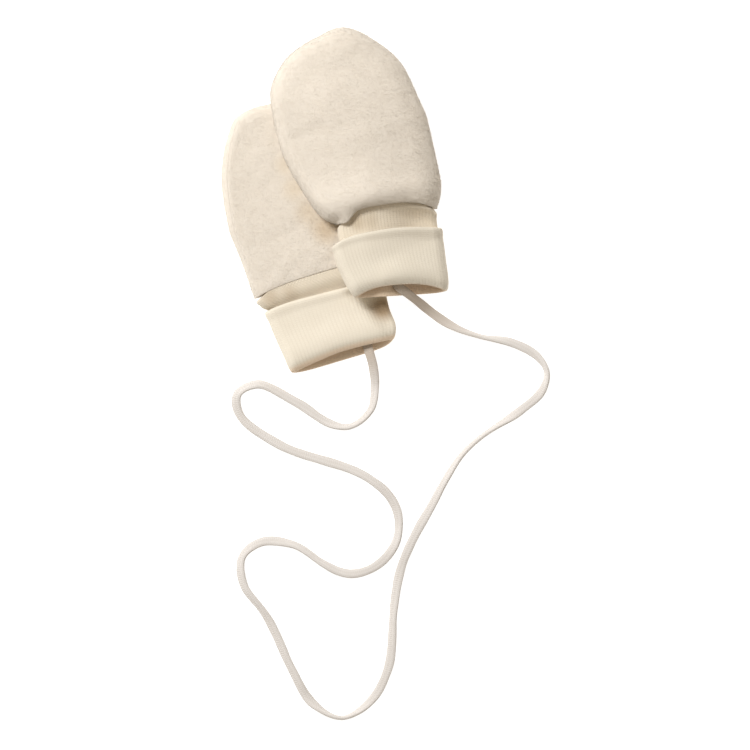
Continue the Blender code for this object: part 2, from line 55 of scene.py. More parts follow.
def hump(value, width):  # bell curve of height 1 that is 0.37 at the width
    return np.exp(-((value / width) ** 2))


def curveThrough(knots, rows, where):
    # cubic Hermite curve through the rows, each at its knot, with central-difference slopes
    knots = np.asarray(knots, float)
    rows = np.asarray(rows, float)
    slopes = np.gradient(rows, knots, axis=0)
    where = np.clip(where, knots[0], knots[-1])
    span = np.clip(np.searchsorted(knots, where, side="right") - 1, 0, len(knots) - 2)
    shape = np.shape(where) + (1,) * (rows.ndim - 1)
    width = (knots[span + 1] - knots[span]).reshape(shape)
    t = (where - knots[span]).reshape(shape) / width
    return (
        (2 * t**3 - 3 * t**2 + 1) * rows[span]
        + (t**3 - 2 * t**2 + t) * width * slopes[span]
        + (3 * t**2 - 2 * t**3) * rows[span + 1]
        + (t**3 - t**2) * width * slopes[span + 1]
    )


def between(pair, share):  # straight from the first value to the second as the share goes 0 to 1
    first, second = pair
    return first + (second - first) * share


def runningSum(steps):  # 0, then the sum of the steps so far
    return np.concatenate([[0.0], np.cumsum(steps)])


def wayAlong(points):  # distance run along a polyline, 0 at its first point
    return runningSum(np.linalg.norm(np.diff(points, axis=0), axis=1))


def unit(vectors):  # each vector divided by its own length
    return vectors / np.maximum(np.linalg.norm(vectors, axis=-1, keepdims=True), 1e-9)


def gridNormals(points):  # unit cross product of the two directions of a grid
    return unit(np.cross(np.gradient(points, axis=1), np.gradient(points, axis=0)))


def gridCorners(grid):  # what each cell of a grid has at its four corners, in order round it
    return np.stack([grid[:-1, :-1], grid[:-1, 1:], grid[1:, 1:], grid[1:, :-1]], axis=2)


def gridUv(u, v):  # both coordinates at every cell's corners, u along a row and v from row to row
    return gridCorners(np.stack(np.meshgrid(u, v), axis=-1)).reshape(-1, 2)


def cellAreas(points):  # half the length of the cross product of each cell's diagonals
    corner = gridCorners(points)
    first, second = corner[:, :, 2] - corner[:, :, 0], corner[:, :, 3] - corner[:, :, 1]
    return np.linalg.norm(np.cross(first, second), axis=-1) / 2


def gridQuads(rows, columns, closedRows=False, closedColumns=False):
    # one quad for each cell, and a closed direction runs on to its start
    index = np.arange(rows * columns).reshape(rows, columns)
    if closedColumns:
        index = np.concatenate([index, index[:, :1]], axis=1)
    if closedRows:
        index = np.concatenate([index, index[:1]], axis=0)
    return gridCorners(index).reshape(-1, 4)


def addMesh(name, points, faces, uv=None):
    # points in metres, faces as arrays of quads or triangles, uv as one pair for each face corner
    mesh = bpy.data.meshes.new(name)
    mesh.vertices.add(len(points))
    mesh.vertices.foreach_set("co", np.asarray(points, np.float32).ravel())
    corners = np.concatenate([np.asarray(group).ravel() for group in faces]).astype(np.int32)
    sizes = np.concatenate([np.full(len(group), group.shape[1]) for group in faces])
    starts = np.concatenate([[0], np.cumsum(sizes)[:-1]]).astype(np.int32)
    mesh.loops.add(len(corners))
    mesh.loops.foreach_set("vertex_index", corners)
    mesh.polygons.add(len(sizes))
    mesh.polygons.foreach_set("loop_start", starts)
    mesh.polygons.foreach_set("loop_total", sizes.astype(np.int32))
    if uv is not None:
        layer = mesh.uv_layers.new(name="UVMap")
        layer.data.foreach_set("uv", np.asarray(uv, np.float32).ravel())
    mesh.update(calc_edges=True)
    mesh.validate()
    mesh.shade_smooth()
    piece = bpy.data.objects.new(name, mesh)
    bpy.context.scene.collection.objects.link(piece)
    return piece


def closeMesh(piece):
    # merges doubled points, then turns every face outwards
    merge = 0.000002
    work = bmesh.new()
    work.from_mesh(piece.data)
    bmesh.ops.remove_doubles(work, verts=work.verts, dist=merge)
    bmesh.ops.dissolve_degenerate(work, edges=work.edges, dist=merge / 10)
    bmesh.ops.recalc_face_normals(work, faces=work.faces)
    work.to_mesh(piece.data)
    work.free()
    piece.data.shade_smooth()


class Number:
    # a socket's value inside an expression; each operator adds one Math node
    def __init__(self, tree, socket):
        self.tree = tree
        self.socket = socket

    def math(self, operation, *values):
        node = self.tree.nodes.new("ShaderNodeMath")
        node.operation = operation
        for place, value in enumerate(values):
            fillSocket(self.tree, node.inputs[place], value)
        return Number(self.tree, node.outputs[0])

    def __add__(self, other):
        return self.math("ADD", self, other)

    def __radd__(self, other):
        return self.math("ADD", other, self)

    def __sub__(self, other):
        return self.math("SUBTRACT", self, other)

    def __rsub__(self, other):
        return self.math("SUBTRACT", other, self)

    def __mul__(self, other):
        return self.math("MULTIPLY", self, other)

    def __rmul__(self, other):
        return self.math("MULTIPLY", other, self)

    def wave(self):  # sine of the value in turns
        return self.math("SINE", self * (2.0 * np.pi))

    def fraction(self):
        return self.math("FRACT", self)

    def size(self):
        return self.math("ABSOLUTE", self)


def fillSocket(tree, socket, value):
    if isinstance(value, Number):
        tree.links.new(value.socket, socket)
    else:
        socket.default_value = value


class Finish:
    # one material, with one method that adds any node to it
    def __init__(self, name, colour):
        self.material = bpy.data.materials.new(name)
        self.material.use_nodes = True
        self.material.diffuse_color = (*colour, 1.0)
        self.tree = self.material.node_tree
        self.tree.nodes.clear()

    def add(self, kind, settings=None, values=None, output=0):
        node = self.tree.nodes.new(kind)
        for key, value in (settings or {}).items():
            setattr(node, key, value)
        for key, value in (values or {}).items():
            fillSocket(self.tree, node.inputs[key], value)
        return Number(self.tree, node.outputs[output]) if node.outputs else None

    def places(self):  # Object coordinates, and the UV map's two coordinates on their own
        split = {"Vector": self.add("ShaderNodeUVMap", {"uv_map": "UVMap"})}
        u, v = (self.add("ShaderNodeSeparateXYZ", {}, split, output=axis) for axis in (0, 1))
        return self.add("ShaderNodeTexCoord", output=3), u, v

    def knit(self, column, row, slant):
        # V-shaped stitches: 0 to 1 from a column's middle to its sides, and the stitches' wave
        side = (column.fraction() - 0.5).size() * 2.0
        return side, (row + side * slant).wave()

    def noise(self, place, scale, detail, roughness=0.5):
        values = {"Vector": place, "Scale": scale, "Detail": detail, "Roughness": roughness}
        return self.add("ShaderNodeTexNoise", {}, values)

    def ramp(self, value, start, end):  # 0 to 1 smoothly as the value goes from start to end
        limits = {"Value": value, "From Min": start, "From Max": end}
        return self.add("ShaderNodeMapRange", {"interpolation_type": "SMOOTHSTEP"}, limits)

    def blend(self, share, first, second):  # colour from first to second as share goes 0 to 1
        values = {"Factor": share}
        for place, colour in ((6, first), (7, second)):
            values[place] = colour if isinstance(colour, Number) else (*colour, 1.0)
        return self.add("ShaderNodeMix", {"data_type": "RGBA"}, values, output=2)

    def paintedShadeSpots(self, place, colour, spots):
        # painted shade: the colour turns to a spot's own brown from its outer reach to its inner one
        for middle, outer, inner, brown in spots:
            ends = {0: place, 1: tuple(toMetres(middle))}
            away = self.add("ShaderNodeVectorMath", {"operation": "DISTANCE"}, ends, output=1)
            colour = self.blend(self.ramp(away, outer * mm, inner * mm), colour, brown)
        return colour

    def surface(self, values):  # the shader with these values, and the finished material
        shader = self.add("ShaderNodeBsdfPrincipled", {}, values)
        self.add("ShaderNodeOutputMaterial", {}, {"Surface": shader})
        return self.material

    def wool(self, colour, height, look):
        # colour varies, height feeds the bump, the rest is the same all over
        strength, distance = look["bump"]
        relief = {"Height": height, "Strength": strength, "Distance": distance}
        values = {
            "Base Color": colour,
            "Roughness": 0.95,
            "Normal": self.add("ShaderNodeBump", {}, relief),
            "Specular IOR Level": 0.15,
            "Sheen Weight": look["sheen"],
            "Sheen Roughness": 0.6,
            "Sheen Tint": (1.0, 0.96, 0.9, 1.0),
        }
        return self.surface(values)


# camera, straight above

camera = {
    "middle": (0.01954, -0.08747),
    "width": 0.375,  # of the ground that it sees
    "height": 8.0,
    "sensor": 36.0,
    "clip": (0.1, 20.0),
}


def addCamera():  # high up with a long lens, so that hardly anything is foreshortened
    data = bpy.data.cameras.new("camera")
    data.sensor_width = camera["sensor"]
    data.lens = camera["sensor"] * camera["height"] / camera["width"]
    data.clip_start, data.clip_end = camera["clip"]
    eye = bpy.data.objects.new("camera", data)
    eye.location = (*camera["middle"], camera["height"])
    bpy.context.scene.collection.objects.link(eye)
    bpy.context.scene.camera = eye


addCamera()
print("camera set")


# joining cord

cord = {
    "length": 0.75,
    "width": 4.6 * mm,
    "thickness": 2.1 * mm,
    "wales": 4,  # columns of stitches on each face
    "waleHeight": 0.12 * mm,
    "stitch": 1.0 * mm,
    "lying": 1.8 * mm,  # height of the route's points where the cord lies on the surface
    "ovalPowers": (0.85, 0.7),  # 1 is an oval, and less than 1 is fuller at its corners
    "breaths": ((0.035, 190.0, 0.0), (0.025, 431.0, 1.0)),  # part of the width, rate, start
    "rows": 1300,
    "around": 24,
    "fineSteps": 6000,
    "softening": 10,  # rows by which the corners of the tables below are evened out
    "colour": (0.75, 0.71, 0.675),
    "shade": (0.56, 0.505, 0.44),
    "mouthColour": (0.50, 0.42, 0.34),  # where it lies in the shade of a mouth
    "mouthWays": ((78.0, 20.0), (720.0, 748.0)),  # where that starts and is full, in millimetres
    "clouds": 70.0,
    "grain": 2600.0,
    "bump": (0.5, 0.0004),
    "sheen": 0.25,
}

# the middle of the cord in metres, from inside the front cuff to inside the rear one
cordRoute = [
    (0.02741, -0.03160, 0.0143), (0.03091, -0.04260, 0.0165), (0.03601, -0.04700, 0.0130),
    (0.04601, -0.05520, 0.0042), (0.05701, -0.06240, 0.0018), (0.07201, -0.06850, 0.0018),
    (0.08751, -0.07150, 0.0018), (0.09951, -0.07800, 0.0018), (0.10551, -0.08650, 0.0018),
    (0.10351, -0.09450, 0.0018), (0.09201, -0.10500, 0.0018), (0.06201, -0.12850, 0.0018),
    (0.03351, -0.17900, 0.0018), (0.02701, -0.23400, 0.0018), (0.01851, -0.25050, 0.0018),
    (0.00301, -0.25900, 0.0018), (-0.01199, -0.25100, 0.0018), (-0.02199, -0.23400, 0.0018),
    (-0.03249, -0.21050, 0.0018), (-0.04599, -0.19300, 0.0018), (-0.04699, -0.17850, 0.0018),
    (-0.03699, -0.17050, 0.0018), (-0.02199, -0.17200, 0.0018), (-0.00699, -0.18150, 0.0018),
    (0.00801, -0.18700, 0.0018), (0.02301, -0.18150, 0.0018), (0.03201, -0.17000, 0.0018),
    (0.03051, -0.15350, 0.0018), (0.01601, -0.13750, 0.0018), (-0.02799, -0.12300, 0.0018),
    (-0.04649, -0.10950, 0.0018), (-0.04899, -0.09700, 0.0018), (-0.03899, -0.09150, 0.0018),
    (-0.01899, -0.10100, 0.0018), (0.00601, -0.11350, 0.0018), (0.01801, -0.10550, 0.0018),
    (0.02001, -0.09400, 0.0018), (0.01881, -0.08410, 0.0044), (0.01711, -0.07740, 0.0058),
    (0.01271, -0.06310, 0.0055),
]

# how far the flat cord is turned on its side, in degrees: (number of the route's point, turn)
cordTwist = [
    (0, 0), (3, 0), (3.5, -8), (4, -28), (4.5, -60), (5, -82), (5.5, -60), (6, -18), (6.5, 0),
    (7, 14), (7.5, 74), (8, 78), (8.5, 50), (9, 36), (9.5, 8), (10, 14), (10.5, 76), (11, 66),
    (11.5, 26), (12, 2), (12.5, 40), (13, 12), (13.5, 12), (14, 25), (14.5, 62), (15, 88),
    (15.5, 70), (16, 22), (16.5, -30), (17.5, -28), (18, -24), (18.5, -48), (19, -36),
    (20.5, -36), (21, -6), (21.5, -24), (22, -42), (23, -50), (23.5, -30), (24.5, -4), (25, -2),
    (25.5, -14), (26, -48), (26.5, -24), (27, -16), (27.5, 22), (28, 26), (28.5, 12), (29.5, 20),
    (30, 18), (31, -34), (31.5, -42), (32, -25), (33, -2), (33.5, -8), (34, -72), (34.5, -58),
    (35.5, -44), (36, -16), (37, -24), (38, -6), (39, 0),
]

# how far it sways to the right of the route, in millimetres: (number of the route's point, way)
cordSway = [
    (2, 0.0), (2.5, -0.5), (3, -0.3), (4.5, 0.0), (5, -0.4), (6, -0.25), (6.5, -0.5), (7, -0.7),
    (7.5, -0.7), (8, 0.2), (8.5, 0.6), (9, 0.0), (9.5, -0.5), (10, -0.4), (10.5, 0.4), (11, 0.1),
    (11.5, -2.4), (12, -0.7), (12.5, 1.1), (13, 0.8), (13.5, 1.1), (14, 1.0), (15, 0.1),
    (17, -0.3), (18, -0.9), (18.5, 0.4), (19, 0.1), (20.5, 0.1), (21, 0.5), (22, 0.2),
    (22.5, -0.7), (23, -0.2), (23.5, 0.3), (24, -0.4), (24.5, -0.1), (25, -0.7), (25.5, -1.3),
    (26, -1.8), (26.5, -1.2), (27, -0.5), (27.5, -0.5), (28, -1.3), (28.5, -0.4), (29, 0.6),
    (29.5, 0.8), (30, 0.1), (30.5, -1.0), (31, 0.0), (32, 0.7), (33, 0.3), (33.5, 1.4),
    (34, -0.3), (35, -1.0), (36, -0.6), (37, 0.0),
]


def softened(values):  # running mean
    width = 2 * cord["softening"] + 1
    padded = np.pad(values, cord["softening"], mode="edge")
    return np.convolve(padded, np.ones(width) / width, mode="valid")


def cordLine():
    # a smooth curve through the route, with knots spaced by the square root of the distance: its
    # points at even steps, moved sideways by the sway, with the twist and the way run at each
    route = np.array(cordRoute)
    knots = runningSum(np.linalg.norm(np.diff(route, axis=0), axis=1) ** 0.5)
    number = np.linspace(0.0, len(route) - 1, cord["fineSteps"])
    fine = curveThrough(knots, route, np.interp(number, np.arange(len(route)), knots))
    way = wayAlong(fine)
    even = np.linspace(0.0, way[-1], cord["rows"])
    line = np.stack([np.interp(even, way, fine[:, axis]) for axis in range(3)], axis=1)
    place = np.interp(even, way, number)
    turn, sway = (
        softened(np.interp(place, *np.array(table, float).T)) for table in (cordTwist, cordSway)
    )
    forward = np.gradient(line, axis=0)
    rightHand = np.stack([forward[:, 1], -forward[:, 0]], axis=1)
    line[:, :2] += unit(rightHand) * sway[:, None] * mm
    return line, np.radians(turn), even


def addCord():
    # a section carried along the line: a flat oval with one low ridge for each wale on both faces
    line, turn, way = cordLine()
    halfWidth = cord["width"] / 2
    halfThick = cord["thickness"] / 2
    upright = np.hypot(halfWidth * np.sin(turn), halfThick * np.cos(turn))
    line[:, 2] = np.maximum(line[:, 2] - cord["lying"], 0.0) + upright
    forward = unit(np.gradient(line, axis=0))
    side = unit(np.cross((0.0, 0.0, 1.0), forward))
    up = np.cross(forward, side)
    angle = np.linspace(0.0, 2 * np.pi, cord["around"], endpoint=False)
    widePower, thickPower = cord["ovalPowers"]
    x = halfWidth * np.sign(np.cos(angle)) * np.abs(np.cos(angle)) ** widePower
    y = halfThick * np.sign(np.sin(angle)) * np.abs(np.sin(angle)) ** thickPower
    ridge = 0.5 - 0.5 * np.cos(2 * np.pi * cord["wales"] * (x / cord["width"] + 0.5))
    y = y - np.sign(y) * cord["waleHeight"] * (1.0 - ridge) * np.abs(np.sin(angle))
    # wool is never quite even: the width breathes a little along the way
    breath = 1.0
    for part, rate, start in cord["breaths"]:
        breath = breath + part * np.sin(way * rate + start)
    x = x * breath[:, None]
    cos, sin = np.cos(turn)[:, None], np.sin(turn)[:, None]
    points = (
        line[:, None]
        + side[:, None] * (x * cos - y * sin)[..., None]
        + up[:, None] * (x * sin + y * cos)[..., None]
    )
    rows, around = points.shape[:2]
    quads = gridQuads(rows, around, closedColumns=True)
    ends = np.stack([np.arange(around)[::-1], (rows - 1) * around + np.arange(around)])
    uv = gridUv(np.linspace(0.0, 1.0, around + 1), way / cord["stitch"])
    uv = np.concatenate([uv, np.zeros((2 * around, 2))])
    piece = addMesh("joiningCord", points.reshape(-1, 3), [quads, ends], uv)
    closeMesh(piece)
    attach(piece, "root")
    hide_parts("cord")
    return piece


def cordFinish():
    # stitches in columns round the cord, shaded between the columns and near both mouths
    finish = Finish("knittedCord", cord["colour"])
    place, around, along = finish.places()
    lane, stitch = finish.knit(around * (2.0 * cord["wales"]), along, 0.5)
    grain = finish.noise(place, cord["grain"], 3.0)
    cloud = finish.noise(place, cord["clouds"], 2.0)
    height = stitch * 0.3 - lane * 0.35 + grain * 0.5
    shade = (lane * 0.22 - stitch * 0.1 + cloud * 0.35 + grain * 0.25) - 0.12
    colour = finish.blend(shade, cord["colour"], cord["shade"])
    way = along * (cord["stitch"] / mm)
    byFront, byRear = (finish.ramp(way, *ways) for ways in cord["mouthWays"])
    colour = finish.blend(byFront + byRear, colour, cord["mouthColour"])
    return finish.wool(colour, height, cord)


joiningCord = addCord()
joiningCord.data.materials.append(cordFinish())
print("cord made")


# the cut of the mittens, in millimetres

cloth = {
    "wall": 2.4,  # thickness of the fleece
    "rib": 1.4,  # thickness of the rib knit
    "edgeShare": 0.445,  # height of the side seam as a part of the hand's height
    "edgeBlend": 0.6,  # way in over which the side's tangent gives way to the whole outline
    "underRound": 4.5,  # how far in the underside rounds up to the seam
    "crownShare": 0.12,  # part of the height that is still gained well inside the outline
    "crownReach": 29.0,
    "crownStart": 10.0,  # way from the wrist seam over which that part sets in
    "swellReach": 40.0,  # way over which the wrist's height turns into the hand's
    "bowPower": 3,  # how flat the bow of the top panel is
    "tuckPlace": (0.78, 0.16),  # place of the tuck on the left, 1 at the edge, and half width
    "rimSide": 0.9,  # 2 would hold the right side's way at the right edge only
    "rimPower": 3,
    "rimWall": 1.4,  # of the bottom panel at the wrist
    "rimDepth": 3.5,
    "rimTaper": 5.0,
    # ways in over which soft forms set in: swells, creases, and unevenness from the wrist
    "softStarts": (6.0, 3.0, 4.0),
    "restHeights": (10.5, 12.4),  # what the upper mitten rests on: hand and wrist of the lower one
    "restClearance": 0.8,
    "cuffTop": 12.95,
    # ways outside and inside the lower outline between which the upper one's two faces climb
    "lowRamp": (-24.0, 4.0),
    "highRamp": (-50.0, 4.0),
    "layerBlend": 2.0,
    "hollowFloor": 3.3,
    "hollowRoof": 7.7,
    "outlineSteps": 240,
    "fineOutlineSteps": 480,
    "middle": (0.0855, 0.5965),  # the tables' point that is the origin
}

# hand part from the wrist to just under the tip: left end x y, right end x y, bow of the top panel
frontMitten = {
    "name": "front",
    "paintedLightness": 1.0,  # of its rib, painted lighter on the rear mitten as painted light
    "sections": [
        (0.1, -11.6, 50.4, -3.9, 6.0), (-5.4, -9.4, 52.1, 2.1, 5.6),
        (-10.9, -3.9, 52.6, 8.6, 4.2), (-16.4, 4.6, 51.4, 15.6, 2.6),
        (-22.4, 14.6, 49.6, 24.1, 1.2), (-26.9, 24.6, 47.6, 33.1, 0.4),
        (-29.9, 35.6, 45.1, 43.1, 0.0), (-32.1, 46.6, 41.1, 52.1, 0.0),
        (-32.4, 55.1, 37.1, 61.1, 0.0), (-29.9, 62.6, 33.1, 68.4, 0.0),
        (-24.6, 71.1, 27.6, 74.4, 0.0), (-16.5, 77.9, 20.6, 79.6, 0.0),
        (-7.9, 82.6, 13.6, 83.9, 0.0), (-2.3, 85.6, 8.6, 86.0, 0.0),
    ],
    "tip": (3.1, 86.85),
    "heights": (12.0, 13.4),  # hand and wrist
    "edgeRounds": (7.0, 12.0),  # how far the top rounds over on the left and on the right
    "edgePowers": (1.0, 1.5),  # 1 is a quarter circle, and more than 1 is flatter at the very edge
    # outer and inner height at the wrist seam, and how far in it rounds on the left and right
    "rim": (10.8, 8.0, 8.0, 8.2),
    "bulge": (1.3, 6.5, 6.5),  # height, way from the wrist seam, half width
    "bandAngle": 27.0,  # direction in which the fleece was brushed
    "seamRoll": 0.0,
    # turned-up layer and inner tube of the cuff: way from the mouth, left end x y, right end x y,
    # bow of the upper and the lower layer, half height
    "turnUp": [
        (0.0, 8.4, -48.6, 57.2, -44.9, 4.9, -0.6, 5.5),
        (14.0, 1.4, -33.9, 54.9, -29.6, 4.2, -0.7, 5.5),
        (30.0, -2.1, -22.6, 53.1, -13.1, 4.0, 0.0, 5.8),
    ],
    "tube": [
        (0.0, 10.0, -48.2, 55.6, -45.0, 4.9, -0.6, 3.75),
        (14.0, 4.4, -33.4, 53.0, -29.6, 4.2, -0.7, 3.75),
        (30.0, 2.0, -21.0, 50.9, -13.4, 4.9, 0.0, 3.75),
        (34.5, 1.0, -15.6, 50.4, -9.0, 5.9, 0.0, 3.75),
        (36.6, 1.4, -12.9, 50.2, -5.4, 6.2, 0.0, 3.75),
        (38.2, 3.4, -12.2, 47.6, -3.4, 6.3, 0.0, 3.75),
        (41.0, 2.9, -8.4, 47.6, -1.6, 6.3, 0.0, 3.75),
    ],
    # how flat the upper bow is: left and right by the mouth, left and right by the hem
    "bowPowers": (3.0, 2.4, 4.0, 1.6),
    "turnRounds": (5.0, 5.0),  # rounding of the turned-up layer's left and right side
    "mouthSwell": (0.7, 6.0, 5.5),  # height, way from the mouth and half width of the swell by it
    "hemLift": (0.2, 1.7),  # how far the hem stands up on the left and on the right
    "rootShares": (0.35, 1.2),  # parts of the next depths on the left and on the right
    # how far the drawn-in rib between hem and hand sinks: way from the mouth, depth
    "rootSinks": [
        (28.5, 3.6), (30.4, 3.6), (32.0, 3.5), (33.4, 3.3), (34.8, 2.8), (36.0, 2.0), (37.1, 1.0),
        (39.0, 0.9), (41.0, 1.2),
    ],
    # where the turned-up layer drops on the left of a line: start x y, end x y, depth, reach
    "drops": [],
    # where rib and fleece lie in shade and are brown: middle, outer and inner reach, colour
    "shadedFleece": [],
    "shaded": [
        ((11.0, -10.8, 20.5), 6.5, 1.0, (0.56, 0.465, 0.34)),
        ((17.5, -10.0, 20.5), 7.0, 1.0, (0.60, 0.51, 0.385)),
    ],
    "fibres": (52000, 20000),  # on the top and on the bottom panel
    "lifted": True,  # it lies on the other one
    "pucker": 3.2,  # how far a tuck of fleece hangs over the wrist near its left corner
    # soft troughs and ridges: start x y, end x y, height, half width
    "creases": [
        (-5.0, 1.5, 13.0, 5.0, 1.1, 9.0), (-13.0, 79.0, 13.0, 82.0, 1.3, 13.0),
        (-21.0, 30.0, 8.0, 42.0, -0.35, 5.0), (12.0, 22.0, 38.0, 36.0, -0.3, 5.0),
        (-14.0, 60.0, 14.0, 68.0, -0.3, 6.0),
    ],
    "seed": 3,
}

rearMitten = {
    "name": "rear",
    # painted light: its rib is painted lighter than the front one's
    "paintedLightness": 1.07,
    "sections": [
        (-40.5, -48.9, 14.1, -31.4, 2.6), (-42.4, -43.9, 16.1, -26.4, 2.2),
        (-45.4, -34.9, 17.1, -18.4, 1.6), (-49.1, -25.4, 17.1, -9.4, 0.9),
        (-52.8, -16.4, 16.4, -0.4, 0.3), (-54.9, -6.9, 15.1, 8.6, 0.0),
        (-56.6, 4.1, 12.6, 18.6, 0.0), (-57.1, 13.1, 9.1, 27.6, 0.0),
        (-55.9, 24.6, 4.1, 35.1, 0.0), (-54.0, 32.1, -0.9, 40.1, 0.0),
        (-51.0, 40.1, -6.9, 44.4, 0.0), (-45.8, 44.4, -13.4, 47.1, 0.0),
        (-40.1, 46.9, -19.9, 48.4, 0.0), (-35.4, 48.0, -25.9, 48.7, 0.0),
    ],
    "tip": (-30.9, 48.8),
    "heights": (10.9, 10.3),
    "edgeRounds": (6.0, 6.0),
    "edgePowers": (1.0, 1.0),
    "rim": (9.9, 9.4, 3.5, 3.5),
    "bulge": (0.2, 9.0, 6.0),
    "bandAngle": 50.0,
    "seamRoll": 3.0,
    "turnUp": [
        (0.0, -23.1, -86.6, 30.6, -68.4, 2.2, -2.1, 5.5),
        (7.0, -25.5, -78.5, 29.7, -61.4, 2.5, -1.3, 5.5),
        (14.0, -28.8, -71.1, 27.0, -54.9, 2.8, -0.7, 5.5),
        (30.0, -35.7, -55.4, 24.2, -40.2, 2.1, 0.0, 5.8),
    ],
    "tube": [
        (0.0, -21.2, -86.0, 28.9, -69.0, 2.2, -2.1, 3.75),
        (14.0, -26.2, -70.4, 25.5, -55.0, 2.8, -0.7, 3.75),
        (30.0, -32.4, -55.1, 20.6, -40.0, 2.3, 0.0, 3.75),
        (34.5, -37.6, -52.6, 15.6, -36.0, 2.5, 0.0, 3.75),
        (36.6, -39.8, -49.7, 12.8, -34.6, 2.6, 0.0, 3.75),
        (38.2, -36.6, -47.6, 10.9, -33.5, 2.6, 0.0, 3.75),
        (41.0, -37.4, -45.2, 12.1, -29.6, 2.6, 0.0, 3.75),
    ],
    "bowPowers": (1.6, 1.4, 4.0, 4.0),
    "turnRounds": (5.0, 10.5),
    "mouthSwell": (1.6, 5.5, 8.5),
    "hemLift": (0.3, 0.4),
    "rootShares": (1.0, 1.0),
    "rootSinks": [
        (28.5, 2.4), (30.0, 2.1), (31.2, 1.5), (32.4, 0.8), (33.6, 0.2), (34.8, -0.25), (36.0, -0.4),
        (38.6, -0.5), (41.0, -0.3),
    ],
    "drops": [(9.0, -53.6, 23.6, -68.2, 4.4, 8.0)],
    "shaded": [
        ((23.6, -53.0, 7.0), 10.5, 2.0, (0.345, 0.248, 0.152)),
        ((-32.5, -48.0, 8.0), 7.0, 1.0, (0.60, 0.50, 0.375)),
        ((-23.0, -45.5, 8.0), 7.0, 0.5, (0.62, 0.525, 0.40)),
    ],
    "shadedFleece": [
        ((-25.4, 18.1, 10.0), 8.0, 0.5, (0.745, 0.655, 0.53)),
        ((-20.5, 6.0, 10.0), 9.5, 0.5, (0.735, 0.64, 0.51)),
        ((-13.5, -5.5, 10.0), 10.5, 0.5, (0.705, 0.605, 0.475)),
        ((-4.5, -13.5, 10.0), 11.5, 1.5, (0.64, 0.525, 0.385)),
    ],
    "fibres": (42000, 18000),
    "lifted": False,
    "pucker": 0.0,
    "creases": [
        (-40.0, -34.0, -18.0, -27.0, 0.35, 6.0), (-46.0, 5.0, -30.0, 15.0, -0.25, 6.0),
        (-34.0, -20.0, -12.0, -12.0, -0.25, 5.0),
    ],
    "seed": 8,
}


def toMetres(points):  # about the tables' middle
    return (np.asarray(points) - (*cloth["middle"], 0.0)) * mm


def outlineRows(mitten):  # the left ends, the tip, and the right ends back to the wrist
    table = np.array(mitten["sections"])
    return np.concatenate([table[:, :2], [mitten["tip"]], table[::-1, 2:4]])


def outlineAt(mitten, where):  # up the left side, round the tip and down the right side
    rows = outlineRows(mitten)
    return curveThrough(np.arange(len(rows)), rows, np.asarray(where, float))


def inwardAt(mitten, where):  # unit normals of the outline that point into the hand part
    step = 0.02
    last = 2 * len(mitten["sections"])
    ahead = outlineAt(mitten, np.minimum(where + step, last))
    along = ahead - outlineAt(mitten, np.maximum(where - step, 0.0))
    return unit(np.stack([along[..., 1], -along[..., 0]], axis=-1))


def wristMiddle(mitten):  # halfway between the two ends of the wrist seam
    wrist = np.array(mitten["sections"][0])
    return (wrist[:2] + wrist[2:4]) / 2


def handAxis(mitten):  # direction from the wrist's middle to the tip
    return unit(np.array(mitten["tip"]) - wristMiddle(mitten))


def lineDistance(points, start, end):  # distance to the nearest of several straight pieces
    way = end - start
    offset = points[..., None, :] - start
    t = np.clip((offset * way).sum(-1) / (way * way).sum(-1), 0.0, 1.0)
    return np.linalg.norm(offset - t[..., None] * way, axis=-1).min(-1)


def insideDistance(points, line):  # distance to a closed outline, negative outside it
    start, end = line, np.roll(line, -1, axis=0)
    x, y = points[..., None, 0], points[..., None, 1]
    spans = (start[:, 1] > y) != (end[:, 1] > y)
    rise = np.where(end[:, 1] == start[:, 1], 1.0, end[:, 1] - start[:, 1])
    crossing = start[:, 0] + (y - start[:, 1]) * (end[:, 0] - start[:, 0]) / rise
    inside = (spans & (x < crossing)).sum(-1) % 2 == 1
    distance = lineDistance(points, start, end)
    return np.where(inside, distance, -distance)


def handOutline(mitten, steps):  # points at even steps of the table
    return outlineAt(mitten, np.linspace(0.0, 2 * len(mitten["sections"]), steps))


def cuffOutline(mitten):  # both sides of the turned-up layer and the middle of its hem
    table = np.array(mitten["turnUp"])
    left, right = table[:, 1:3], table[:, 3:5]
    hemMiddle = (left[-1] + right[-1]) / 2 + handAxis(mitten) * table[-1, 5]
    return np.concatenate([left, [hemMiddle], right[::-1]])


def handHeight(mitten, points, heights):  # changes smoothly from the hand's height to the wrist's
    along = (points - wristMiddle(mitten)) @ handAxis(mitten)
    return between(heights, smoothStep(1.0 - along / cloth["swellReach"]))


def liftOver(points, limits):
    # height that the rear mitten gives to what lies on it: the larger of its hand and its cuff,
    # blended where they are close, each ramped down to the surface outside its outline
    low, high = limits
    lines = (handOutline(rearMitten, cloth["outlineSteps"]), cuffOutline(rearMitten))
    overHand, overCuff = (
        smoothStep((insideDistance(points, line) - low) / (high - low)) for line in lines
    )
    top = cloth["cuffTop"] + cloth["restClearance"]
    hand = handHeight(rearMitten, points, cloth["restHeights"]) + cloth["restClearance"]
    hand = hand * overHand
    cuff = top * overCuff
    blend = np.clip(cloth["layerBlend"] - np.abs(hand - cuff), 0.0, None) ** 2
    blend = blend / (4 * cloth["layerBlend"])
    return np.maximum(hand, cuff) + blend * np.minimum(hand, cuff) / top


def laid(mitten, plan, height):
    # the lower layers follow what is under them closely, the upper ones softly
    if mitten["lifted"]:
        hollow = cloth["hollowRoof"] - cloth["hollowFloor"]
        share = np.clip((height - cloth["hollowFloor"]) / hollow, 0.0, 1.0)
        low = liftOver(plan, cloth["lowRamp"])
        high = liftOver(plan, cloth["highRamp"])
        height = height + low * (1 - share) + high * share
    return np.concatenate([plan, height[..., None]], axis=-1)


# fleece panels

